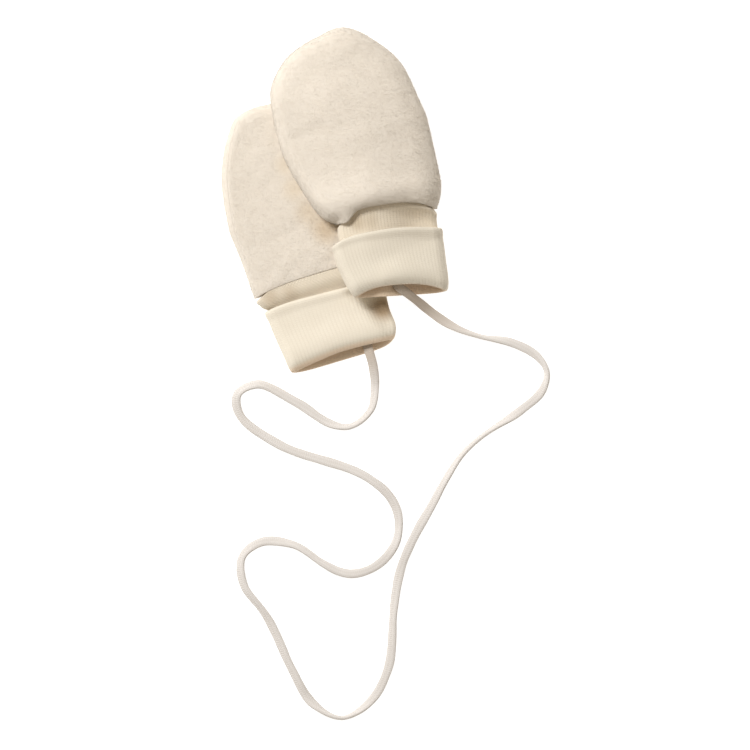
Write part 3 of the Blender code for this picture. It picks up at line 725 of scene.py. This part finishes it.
fleece = {
    "rows": 120,
    "across": 110,
    "endCloseness": 0.12,  # how much closer the rows are at the wrist and at the tip
    "seamGap": 0.08,
    "seamRidge": (0.45, 2.2),  # rolled side seam: height and half width
    "seamGroove": (0.14, 0.6),
    "rollEnds": 0.3,  # part of the roll that is left at its two ends
    "rollMost": 0.1,  # of the width
    "bands": (0.03, 8.0, 15.0, 0.3),  # brushed bands: height, shortest and longest wave, spread
    "swells": (0.06, 22.0, 38.0, np.pi),
    "waveBend": (1.3, 3.1),  # how far each wave is bent, and over how many of its lengths
    "colour": (0.766, 0.699, 0.608),
    "shade": (0.665, 0.578, 0.466),
    "streaks": (560.0, 0.38),  # scale, and how much of it is left along the brushed direction
    "clouds": 60.0,
    "tufts": 900.0,
    "grain": 2600.0,
    "bump": (0.35, 0.0005),
    "sheen": 0.3,
    "napLength": (0.4, 1.05),
    "napWidth": 0.09,
    "napLean": (0.4, 0.85),  # 1 stands up straight and 0 lies flat
    "napCurl": 0.25,
    "napRoot": 0.15,
    "napLowest": 0.05,
    "napStray": 0.12,
    "napColour": (0.768, 0.701, 0.61),
}


def unevenAt(mitten, plan):
    # sums of waves: narrow ones across the brushed direction, each bent by a long wave, and a few
    # broad ones in any direction
    rng = np.random.default_rng(mitten["seed"])
    brushed = np.radians(mitten["bandAngle"] + 90.0)
    bent, bendReach = fleece["waveBend"]
    total = 0.0
    for kind in ("bands", "swells"):
        height, shortest, longest, spread = fleece[kind]
        for length in np.linspace(shortest, longest, 4):
            angle = brushed + rng.uniform(-spread, spread)
            phase, bend = rng.uniform(0.0, 2 * np.pi, 2)
            way = plan[..., 0] * np.cos(angle) + plan[..., 1] * np.sin(angle)
            side = plan[..., 1] * np.cos(angle) - plan[..., 0] * np.sin(angle)
            phase = phase + bent * np.sin(side * 2 * np.pi / (bendReach * length) + bend)
            total = total + height * np.sin(way * 2 * np.pi / length + phase)
    return total


def creaseAt(mitten, plan):  # bell-shaped ridges and troughs along straight lines
    total = np.zeros(plan.shape[:-1])
    for startX, startY, endX, endY, height, width in mitten["creases"]:
        start, end = np.array([[startX, startY]]), np.array([[endX, endY]])
        total += height * hump(lineDistance(plan, start, end), width)
    return total


def rollAt(mitten, station):
    # how far in from the left edge the side seam is rolled, as half a sine wave along the side, and
    # the width there
    rows = outlineRows(mitten)
    span = outlineAt(mitten, len(rows) - 1 - station) - outlineAt(mitten, station)
    width = np.linalg.norm(span, axis=-1)
    along = np.clip(station / len(mitten["sections"]), 0.0, 1.0)
    roll = mitten["seamRoll"] * between((fleece["rollEnds"], 1.0), np.sin(np.pi * along))
    return np.minimum(roll, fleece["rollMost"] * width), width


def handPoint(mitten, station, turn, inner, lip):
    # station counts the sections from the wrist to the tip, turn runs from the right edge (0) over
    # the top to the left edge (1) and back underneath (2). The plan goes across as the turn's
    # cosine, and the height as a quarter circle of the distance in from the outline.
    rows = outlineRows(mitten)
    last = len(rows) - 1
    wall = cloth["wall"] if inner else 0.0
    leftEdge, rightEdge = outlineAt(mitten, station), outlineAt(mitten, last - station)
    leftNormal, rightNormal = inwardAt(mitten, station), inwardAt(mitten, last - station)
    left, right = leftEdge + wall * leftNormal, rightEdge + wall * rightNormal
    axis = handAxis(mitten)
    bows = np.array([row[4] for row in mitten["sections"]] + [0.0])
    bow = curveThrough(np.arange(len(bows)), bows[:, None], station)[..., 0]
    across = np.cos(np.pi * turn)
    onTop = turn <= 1.0
    arch = (1.0 - np.abs(across) ** cloth["bowPower"]) * onTop
    tuckPlace, tuckWidth = cloth["tuckPlace"]
    tuck = mitten["pucker"] * hump(across + tuckPlace, tuckWidth) * smoothStep(1.0 - station) * onTop
    plan = left + (right - left) * ((1.0 + across) / 2)[..., None]
    plan = plan + axis * (bow * arch - tuck)[..., None]

    # distance in from the outline
    toLeft = ((plan - leftEdge) * leftNormal).sum(-1)
    toRight = ((plan - rightEdge) * rightNormal).sum(-1)
    tangent = np.clip(np.minimum(toLeft, toRight), 0.0, None)
    line = handOutline(mitten, cloth["fineOutlineSteps"])
    curve = lineDistance(plan, line[:-1], line[1:])
    mix = smoothStep((tangent - wall) / cloth["edgeBlend"])
    inset = np.clip(tangent * (1 - mix) + curve * mix - wall, 0.0, None)

    middle = (left + right) / 2 + axis * bow[..., None]
    fromRim = (middle - wristMiddle(mitten)) @ axis - mitten["sections"][0][4]
    fromRim = np.clip(fromRim, 0.0, None)

    height = handHeight(mitten, plan, mitten["heights"])
    edge = height * cloth["edgeShare"] + lip
    share = cloth["crownShare"] * smoothStep(fromRim / cloth["crownStart"])
    toRightSide = smoothStep((1.0 + across) / 2)
    rounding = between(mitten["edgeRounds"], toRightSide)
    power = between(mitten["edgePowers"], toRightSide)
    over = (1 - share) * quarterRound(inset / (rounding - wall)) ** power
    over = over + share * smoothStep(inset / cloth["crownReach"])
    roof = height - wall
    rimOutside, rimInside, *rimWays = mitten["rim"]
    rimWay = between(rimWays, smoothStep((1.0 + across) / cloth["rimSide"]))
    rimShare = ((rimInside if inner else rimOutside) - edge) / (roof - edge)
    fall = np.clip(1.0 - fromRim / rimWay, 0.0, 1.0) ** cloth["rimPower"]
    over = over * (1.0 - (1.0 - rimShare) * fall)
    under = quarterRound(inset / (cloth["underRound"] - wall))
    taper = smoothStep((fromRim - cloth["rimDepth"]) / cloth["rimTaper"])
    floor = between((cloth["rimWall"], cloth["wall"]), taper) if inner else 0.0
    level = np.where(onTop, edge + (roof - edge) * over, edge - (edge - floor) * under)

    if not inner:
        # the soft form of the outside: bulge over the wrist, creases, unevenness, rolled seam
        swellStart, creaseStart, wristStart = cloth["softStarts"]
        away = smoothStep(inset / swellStart) * onTop
        high, place, width = mitten["bulge"]
        level = level + high * hump(fromRim - place, width) * away
        level = level + creaseAt(mitten, plan) * smoothStep(inset / creaseStart) * onTop
        level = level + unevenAt(mitten, plan) * away * smoothStep(fromRim / wristStart)
        if mitten["seamRoll"]:
            roll = rollAt(mitten, station)[0]
            ridge, ridgeWidth = fleece["seamRidge"]
            groove, grooveWidth = fleece["seamGroove"]
            fromSeam = toLeft - roll
            level = level + ridge * hump(fromSeam, ridgeWidth) * onTop
            level = level - groove * hump(fromSeam, grooveWidth) * onTop
    return laid(mitten, plan, level)


def seamTurn(mitten, station, inner):  # turn at which the left seam lies
    roll, width = rollAt(mitten, station)
    if inner:
        edgeRound = mitten["edgeRounds"][0]
        roll = roll * (edgeRound - cloth["wall"]) / edgeRound
    across = -1.0 + 2.0 * roll / np.maximum(width, 1e-6)
    return np.arccos(np.clip(across, -1.0, 1.0)) / np.pi


def seamGapTurn(mitten, station, turn, inner, lip):
    # half of the seam's gap as a part of the turn, and none where the seam isn't rolled
    step, widest, unrolled = 0.004, 0.015, 0.999
    ahead = handPoint(mitten, station, turn + step, inner, lip)
    behind = handPoint(mitten, station, turn - step, inner, lip)
    speed = np.linalg.norm(ahead - behind, axis=-1) / (2 * step)
    gap = np.minimum(fleece["seamGap"] / 2 / np.maximum(speed, 1e-6), widest)
    return np.where(turn < unrolled, gap, 0.0)


def panelSkins(mitten, onTop):
    # the outer and the inner face of a panel as grids of points, rows from the wrist to the tip
    last = len(mitten["sections"])
    share = np.linspace(0.0, 1.0, fleece["rows"])
    station = last * (share - fleece["endCloseness"] * np.sin(2 * np.pi * share) / np.pi)
    lip = fleece["seamGap"] / 2 if onTop else -fleece["seamGap"] / 2
    spread = np.linspace(0.0, 1.0, fleece["across"])
    skins = []
    for inner in (False, True):
        seam = seamTurn(mitten, station, inner)
        gap = seamGapTurn(mitten, station, seam, inner, lip)
        first = np.zeros_like(seam) if onTop else seam + gap
        final = seam - gap if onTop else np.full_like(seam, 2.0)
        turn = first[:, None] + (final - first)[:, None] * spread
        if not onTop and mitten["seamRoll"] == 0.0:  # it starts just under the edge
            turn = np.maximum(turn, 1.0 + 1e-9)
        place = np.broadcast_to(station[:, None], turn.shape)
        skins.append(handPoint(mitten, place, turn, inner, lip))
    return skins


def addNap(name, skin, count, seed):
    # short curved fibres spread evenly over a grid of points: each leans from its root to its
    # middle and lies further over to its tip, and is shaded as the cloth under it
    rng = np.random.default_rng(seed)
    area = cellAreas(skin)
    chance = area.ravel() / area.sum()
    face = rng.choice(len(chance), size=count, p=chance)
    a, b = rng.random((2, count, 1))

    def spot(grid):  # straight between the corners of the chosen cells
        cell = gridCorners(grid).reshape(-1, 4, 3)[face]
        low = between((cell[:, 0], cell[:, 1]), a)
        return between((low, between((cell[:, 3], cell[:, 2]), a)), b)

    base, normal = spot(skin), unit(spot(gridNormals(skin)))
    angle = rng.uniform(0.0, 2 * np.pi, (count, 1))
    across = unit(np.cross(normal, (0.31, 0.95, 0.05)))  # a direction that no normal has
    comb = across * np.cos(angle) + np.cross(normal, across) * np.sin(angle)
    length = rng.uniform(*fleece["napLength"], (count, 1))
    lean = rng.uniform(*fleece["napLean"], (count, 1))
    curl = fleece["napCurl"]
    half = np.cross(comb, normal) * fleece["napWidth"] / 2
    middle = base + (normal * lean + comb * (1 - lean)) * length * 0.5
    tip = middle + (normal * (lean - curl) + comb * (1 + curl - lean)) * length * 0.5
    base = base - normal * fleece["napRoot"]
    points = np.stack([base - half, base + half, middle - half, middle + half, tip], axis=1)
    points[..., 2] = np.maximum(points[..., 2], fleece["napLowest"])
    start = np.arange(count)[:, None] * 5
    faces = [start + (0, 1, 3, 2), start + (2, 3, 4)]
    piece = addMesh(name, toMetres(points.reshape(-1, 3)), faces)
    shading = unit(normal + rng.normal(0.0, fleece["napStray"], (count, 3)))
    piece.data.normals_split_custom_set_from_vertices(np.repeat(shading, 5, axis=0).tolist())
    return piece


def addPanel(mitten, onTop, fibres):
    # both faces, joined by a strip along each of their four edges, with the nap on the outer one
    side = "Top" if onTop else "Bottom"
    name = f"{mitten['name']}{side}Panel"
    outer, inner = panelSkins(mitten, onTop)
    rows, across = outer.shape[:2]
    count = rows * across
    quads = gridQuads(rows, across)
    index = np.arange(count).reshape(rows, across)
    rims = [index[:, 0], index[:, -1], index[0], index[-1]]
    walls = [
        np.stack([rim[:-1], rim[1:], rim[1:] + count, rim[:-1] + count], axis=1) for rim in rims
    ]
    faces = [quads, quads[:, ::-1] + count, *walls]
    points = np.concatenate([outer.reshape(-1, 3), inner.reshape(-1, 3)])
    piece = addMesh(name, toMetres(points), faces)
    closeMesh(piece)
    skin = outer if onTop else outer[:, ::-1]
    if (gridNormals(skin)[..., 2].mean() > 0) != onTop:  # the fibres have to stand outwards
        skin = skin[:, ::-1]
    nap = addNap(name + "Nap", skin, fibres, mitten["seed"] + onTop)
    for item in (piece, nap):
        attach(item, "root")
    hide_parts(f"{mitten['name']}_{side.lower()}_panel")
    return piece, nap


def fleeceFinish(name, colour, shade, angle, spots):
    # brushed fleece: streaks along the brushed direction, soft clouds, a fine grain, and painted
    # shade in brown spots
    finish = Finish(name, colour)
    place = finish.add("ShaderNodeTexCoord", output=3)
    fine, along = fleece["streaks"]
    turn = {"Vector": place, "Rotation": (0.0, 0.0, -np.radians(angle)), "Scale": (along, 1.0, 1.0)}
    brushed = finish.add("ShaderNodeMapping", {"vector_type": "POINT"}, turn)
    streak = finish.noise(brushed, fine, 3.0, 0.55)
    cloud = finish.noise(place, fleece["clouds"], 3.0, 0.55)
    tuft = finish.noise(place, fleece["tufts"], 2.0, 0.6)
    grain = finish.noise(place, fleece["grain"], 2.0, 0.6)
    share = streak * 0.5 + cloud * 0.3 + tuft * 0.3 + grain * 0.25 - 0.45
    mixed = finish.paintedShadeSpots(place, finish.blend(share, colour, shade), spots)
    height = streak * 0.8 + tuft * 0.4 + grain * 0.2
    return finish.wool(mixed, height, fleece)


for mitten in (frontMitten, rearMitten):
    look = (mitten["bandAngle"], mitten["shadedFleece"])
    name = mitten["name"] + "Fleece"
    skinFinish = fleeceFinish(name, fleece["colour"], fleece["shade"], *look)
    napFinish = fleeceFinish(name + "Nap", fleece["napColour"], fleece["colour"], *look)
    for onTop, fibres in zip((True, False), mitten["fibres"]):
        panel, nap = addPanel(mitten, onTop, fibres)
        panel.data.materials.append(skinFinish)
        nap.data.materials.append(napFinish)
print("fleece panels made")


# ribbed cuffs

cuff = {
    "ribs": 70,
    "ribHeight": 0.21,
    "pointsToRib": 6,
    "profile": 170,
    "stitch": 0.95,
    "length": 0.071,  # in metres: 30 mm turned up and 41 mm of tube
    "turnedUp": 30.0,
    "girthWay": 15.0,  # way from the mouth at which the ribs are evenly spaced
    "bends": (8.5, 11.5, 15.0, 19.0),
    # rings of the hem and of the mouth: way from the mouth, depth under the face, rib height
    "hem": [
        (29.1, 2.4, 0.0), (29.8, 1.3, 0.1), (29.65, 0.25, 0.15), (28.9, -0.15, 0.2),
        (27.8, -0.3, 0.2), (26.6, -0.2, 0.2), (25.4, -0.05, 0.16), (24.0, 0.0, 0.16),
        (22.4, -0.1, 0.16),
    ],
    "lip": [
        (6.2, -0.1, 0.16), (4.6, 0.05, 0.16), (3.2, 0.3, 0.3), (2.0, 0.6, 0.2), (0.9, 1.1, 0.25),
        (0.2, 1.8, 0.25), (0.3, 2.5, 0.25),
    ],
    "tubeRound": 3.3,
    "tubeCentre": 5.5,
    "leastRound": 0.5,
    "leastHalf": 0.1,
    "leastStep": 0.05,
    "stepPower": 0.7,  # less than 1 puts more of the profile's points where the rings are close
    "fineTurns": 4001,
    "colour": (0.755, 0.69, 0.575),
    "shade": (0.55, 0.455, 0.335),
    # painted warm shade inside the mouth, where little light reaches
    "inside": (0.84, 0.67, 0.495),
    "root": (0.73, 0.645, 0.515),  # painted shade on the drawn-in rib between hem and hand
    # ways over the wall, from the hem on, over which these two painted shades set in and end
    "insideShadeWays": ((31.5, 34.5), (68.0, 64.0)),
    "rootShadeWays": (73.0, 77.0),
    "clouds": 90.0,
    "grain": 2200.0,
    "bump": (0.5, 0.0004),
    "sheen": 0.25,
    # how far the upper fold comes down to the mouth, from how far away, power of the curve
    "mouthDrop": (1.6, 4.0, 1.6),
    "tubeSwell": 0.5,  # part of the swell by the mouth that the inner tube has
    "underSkew": 0.45,  # how much more the lower lip is bowed on its right
    "underPowers": (4.0, 7.0),  # how flat the lower bow is by the hem and by the mouth
    "hemRise": (21.0, 9.5),  # where the hem begins to stand up, and over how long a way
    "sinkStart": 22.0,
    "sinkPower": 1.5,
    "dropFade": 6.0,
}


def cuffRings(mitten):
    # the wall's profile from the hem down the outside, in at the mouth, up the inside and back:
    # layer, way from the mouth, depth under the layer's face, rib height
    turn, tube, wall = "turnUp", "tube", cloth["rib"]
    bends = cuff["bends"]
    ends = [row[0] for row in mitten["rootSinks"]]
    profile = [(turn, *row) for row in cuff["hem"]]
    profile += [(turn, bend, -0.2, 0.25) for bend in bends[::-1]]
    profile += [(turn, *row) for row in cuff["lip"]]
    profile += [(tube, way, wall, 0.25) for way in (1.6, 3.6, 6.0)]
    profile += [(tube, bend, wall, 0.4) for bend in bends]
    profile += [(tube, end, wall, 0.0) for end in ends]
    profile += [(tube, end, 0.0, 0.1 if end > 40.0 else 0.35) for end in ends[::-1]]
    profile += [(tube, bend, 0.0, 0.0) for bend in bends[::-1]]
    profile += [(tube, 2.6, 0.0, 0.0), (turn, 2.6, wall, 0.0)]
    profile += [(turn, bend, wall, 0.0) for bend in bends]
    return profile


def topDrop(mitten, layer, along, across):
    # how much flatter than a plain tube the cuff is: by its mouth, with a swell before it, and
    # where the rib is drawn in between the hem and the hand
    drop, reach, power = cuff["mouthDrop"]
    total = drop * max(1.0 - along / reach, 0.0) ** power
    high, place, width = mitten["mouthSwell"]
    total -= high * hump(along - place, width) * (1.0 if layer == "turnUp" else cuff["tubeSwell"])
    if layer == "tube":
        table = np.array(mitten["rootSinks"])
        start = cuff["sinkStart"]
        share = smoothStep((along - start) / (table[0, 0] - start))
        depth = float(curveThrough(table[:, 0], table[:, 1], np.array(along)))
        toRight = smoothStep((1.0 + across) / 2) ** cuff["sinkPower"]
        total = total + depth * share * between(mitten["rootShares"], toRight)
    return total


def topSink(mitten, layer, ring, plan, across, share):
    # what only parts of the upper side sink by: less than nothing where the hem stands up, and a
    # slope that starts at a line. The share is the height's part of its full height, so that the
    # sides stay put.
    sink = 0.0
    if layer == "turnUp":
        start, way = cuff["hemRise"]
        lift = between(mitten["hemLift"], smoothStep((1.0 + across) / 2))
        sink = -lift * smoothStep((ring[1] - start) / way) * share
    for startX, startY, endX, endY, deep, reach in mitten["drops"]:
        way = np.array([endX - startX, endY - startY])
        toLeft = (plan - (startX, startY)) @ (-way[1], way[0]) / np.linalg.norm(way)
        fade = smoothStep((cuff["turnedUp"] - ring[1]) / cuff["dropFade"])
        sink = sink + deep * smoothStep(toLeft / reach) * share**2 * fade
    return sink


def cuffPoint(mitten, ring, turn):
    # a flat oval tube: its half height falls to nothing at both edges by a quarter circle
    layer, along, depth, _ = ring
    table = np.array(mitten[layer])
    values = curveThrough(table[:, 0], table[:, 1:], np.full_like(turn, along))
    left, right = values[..., 0:2], values[..., 2:4]
    bowTop, bowUnder, half = values[..., 4], values[..., 5], values[..., 6]
    centre = half if layer == "turnUp" else cuff["tubeCentre"]
    across = np.cos(np.pi * turn)
    drop = topDrop(mitten, layer, along, across)
    centre, half = centre - drop / 2, half - drop / 2
    width = np.linalg.norm(right - left, axis=-1)
    chord = (right - left) / width[..., None]
    left, right = left + chord * depth, right - chord * depth
    rounding = cuff["tubeRound"]
    if layer == "turnUp":
        leftRound, rightRound = mitten["turnRounds"]
        rounding = np.where((across > 0) & (turn <= 1.0), rightRound, leftRound)
    powers = np.array(mitten["bowPowers"])
    reach = np.clip(along / cuff["turnedUp"], 0.0, 1.0)
    leftPower, rightPower = between((powers[:2], powers[2:]), reach)
    power = np.where(across > 0, rightPower, leftPower)
    under = bowUnder * (1.0 + cuff["underSkew"] * across * (1.0 - reach))
    power = np.where(turn <= 1.0, power, between(cuff["underPowers"], 1.0 - reach))
    bow = np.where(turn <= 1.0, bowTop, under) * (1.0 - np.abs(across) ** power)
    axis = np.stack([-chord[..., 1], chord[..., 0]], axis=-1)
    plan = left + (right - left) * ((1.0 + across) / 2)[..., None] + axis * bow[..., None]
    inset = (1.0 - np.abs(across)) * (width / 2 - depth)
    share = quarterRound(inset / np.maximum(rounding - depth, cuff["leastRound"]))
    rise = np.maximum(half - depth, cuff["leastHalf"]) * share
    sink = topSink(mitten, layer, ring, plan, across, share)
    level = np.where(turn <= 1.0, centre + rise - sink, centre - rise)
    return laid(mitten, plan, np.maximum(level, 0.0))


def evenTurns(mitten):  # turns evenly spaced round the cuff's middle
    fine = np.linspace(0.0, 2.0, cuff["fineTurns"])
    flat = dict(mitten, lifted=False)
    way = wayAlong(cuffPoint(flat, ("turnUp", cuff["girthWay"], 0.0, 0.0), fine))
    count = cuff["ribs"] * cuff["pointsToRib"]
    return np.interp(np.linspace(0.0, way[-1], count, endpoint=False), way, fine)


def addCuff(mitten):
    # the rings joined by a smooth closed curve, with one raised cosine for each rib along the
    # surface's own normals
    name = f"{mitten['name']}Cuff"
    rings = cuffRings(mitten)
    turns = evenTurns(mitten)
    key = np.stack([cuffPoint(mitten, ring, turns) for ring in rings])
    pad = 3  # rings that come again at both ends, so that the curve closes
    order = np.arange(-pad, len(rings) + pad + 1) % len(rings)
    key = key[order]
    ribbed = np.array([ring[3] for ring in rings])[order]
    step = np.median(np.linalg.norm(np.diff(key, axis=0), axis=-1), axis=1)
    knots = runningSum(np.maximum(step, cuff["leastStep"]) ** cuff["stepPower"])
    where = np.linspace(knots[pad], knots[pad + len(rings)], cuff["profile"], endpoint=False)
    points = curveThrough(knots, key, where)
    rise = np.interp(where, knots, ribbed)
    reached = runningSum(step)
    way = np.interp(where, knots, reached) - reached[pad]
    wayEnd = reached[pad + len(rings)] - reached[pad]
    normal = gridNormals(np.pad(points, ((1, 1), (1, 1), (0, 0)), mode="wrap"))[1:-1, 1:-1]
    share = np.arange(len(turns)) / len(turns)
    rib = 0.5 - 0.5 * np.cos(2 * np.pi * cuff["ribs"] * share)
    outside = len(points) // 8  # a row of the turned-up layer's outside
    if np.mean(normal[outside, : len(turns) // 2, 2]) <= 0:
        normal = -normal
    points = points + normal * (cuff["ribHeight"] * rise[:, None] * rib)[..., None]
    points[..., 2] = np.maximum(points[..., 2], 0.0)
    rows, around = points.shape[:2]
    quads = gridQuads(rows, around, closedRows=True, closedColumns=True)
    uv = gridUv(np.linspace(0.0, cuff["ribs"], around + 1), np.append(way, wayEnd) / cuff["stitch"])
    piece = addMesh(name, toMetres(points.reshape(-1, 3)), [quads], uv)
    closeMesh(piece)
    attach(piece, "root")
    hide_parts(f"{mitten['name']}_cuff")
    return piece


def ribFinish(mitten):
    # each rib is a column of stitches, darker in the grooves between ribs as painted shade
    # the rear's rib is painted lighter as painted light
    crest, shade = (tuple(mitten["paintedLightness"] * np.array(cuff[key])) for key in ("colour", "shade"))
    finish = Finish(mitten["name"] + "RibKnit", crest)
    place, rib, row = finish.places()
    offCrest, stitch = finish.knit(rib, row, 0.45)
    grain = finish.noise(place, cuff["grain"], 3.0, 0.6)
    cloud = finish.noise(place, cuff["clouds"], 3.0)
    groove = offCrest * offCrest
    height = stitch * 0.2 - groove * 0.2 + grain * 0.4
    share = groove * 0.05 - stitch * 0.04 + cloud * 0.25 + grain * 0.2 - 0.12
    colour = finish.blend(share, crest, shade)
    way = row * cuff["stitch"]
    # painted warm shade inside the mouth
    begun, notEnded = (finish.ramp(way, *ways) for ways in cuff["insideShadeWays"])
    colour = finish.blend(begun * notEnded, colour, cuff["inside"])
    # painted shade on the drawn-in root
    colour = finish.blend(finish.ramp(way, *cuff["rootShadeWays"]), colour, cuff["root"])
    colour = finish.paintedShadeSpots(place, colour, mitten["shaded"])
    return finish.wool(colour, height, cuff)


for mitten in (frontMitten, rearMitten):
    addCuff(mitten).data.materials.append(ribFinish(mitten))
print("cuffs made")


# floor and light

studio = {
    "floorSize": 6.0,
    "floorLevel": -0.0002,
    "floorColour": (0.6, 0.6, 0.6),
    "floorGlow": 0.8,
    "worldColour": (1.0, 0.915, 0.79),
    "worldStrength": 0.36,
    "aim": (0.0, -0.03, 0.0),
    # direction round from +X and up from the floor in degrees, distance, size, power, colour
    "lamps": [
        (134.0, 50.0, 2.2, 0.6, 51.0, (0.95, 0.965, 0.99)),
        (-5.0, 38.0, 2.2, 1.2, 2.0, (1.0, 0.98, 0.96)),
    ],
}


def addFloor():  # a pale square just under the pair
    half = studio["floorSize"] / 2
    corners = [(-half, -half), (half, -half), (half, half), (-half, half)]
    points = [(x, y, studio["floorLevel"]) for x, y in corners]
    floor = addMesh("floor", points, [np.array([[0, 1, 2, 3]])])
    finish = Finish("paleFloor", studio["floorColour"])
    values = {
        "Base Color": (*studio["floorColour"], 1.0),
        "Roughness": 0.9,
        "Specular IOR Level": 0.1,
        "Emission Color": (1.0, 1.0, 1.0, 1.0),
        "Emission Strength": studio["floorGlow"],
    }
    floor.data.materials.append(finish.surface(values))


def addLights():  # each lamp stands on a sphere round the aim and faces it
    aim = np.array(studio["aim"])
    for number, (turn, rise, distance, size, power, colour) in enumerate(studio["lamps"]):
        turn, rise = np.radians(turn), np.radians(rise)
        away = np.array([np.cos(rise) * np.cos(turn), np.cos(rise) * np.sin(turn), np.sin(rise)])
        lamp = bpy.data.lights.new(f"softLight{number}", "AREA")
        lamp.size = size
        lamp.energy = power
        lamp.color = colour
        stand = bpy.data.objects.new(lamp.name, lamp)
        stand.location = aim + away * distance
        stand.rotation_euler = Vector(-away).to_track_quat("-Z", "Y").to_euler()
        bpy.context.scene.collection.objects.link(stand)
    world = bpy.context.scene.world or bpy.data.worlds.new("world")
    bpy.context.scene.world = world
    world.use_nodes = True
    sky = world.node_tree.nodes["Background"]
    sky.inputs["Color"].default_value = (*studio["worldColour"], 1.0)
    sky.inputs["Strength"].default_value = studio["worldStrength"]


addFloor()
addLights()
bpy.context.scene.view_settings.view_transform = "Standard"
print("floor and lights made")
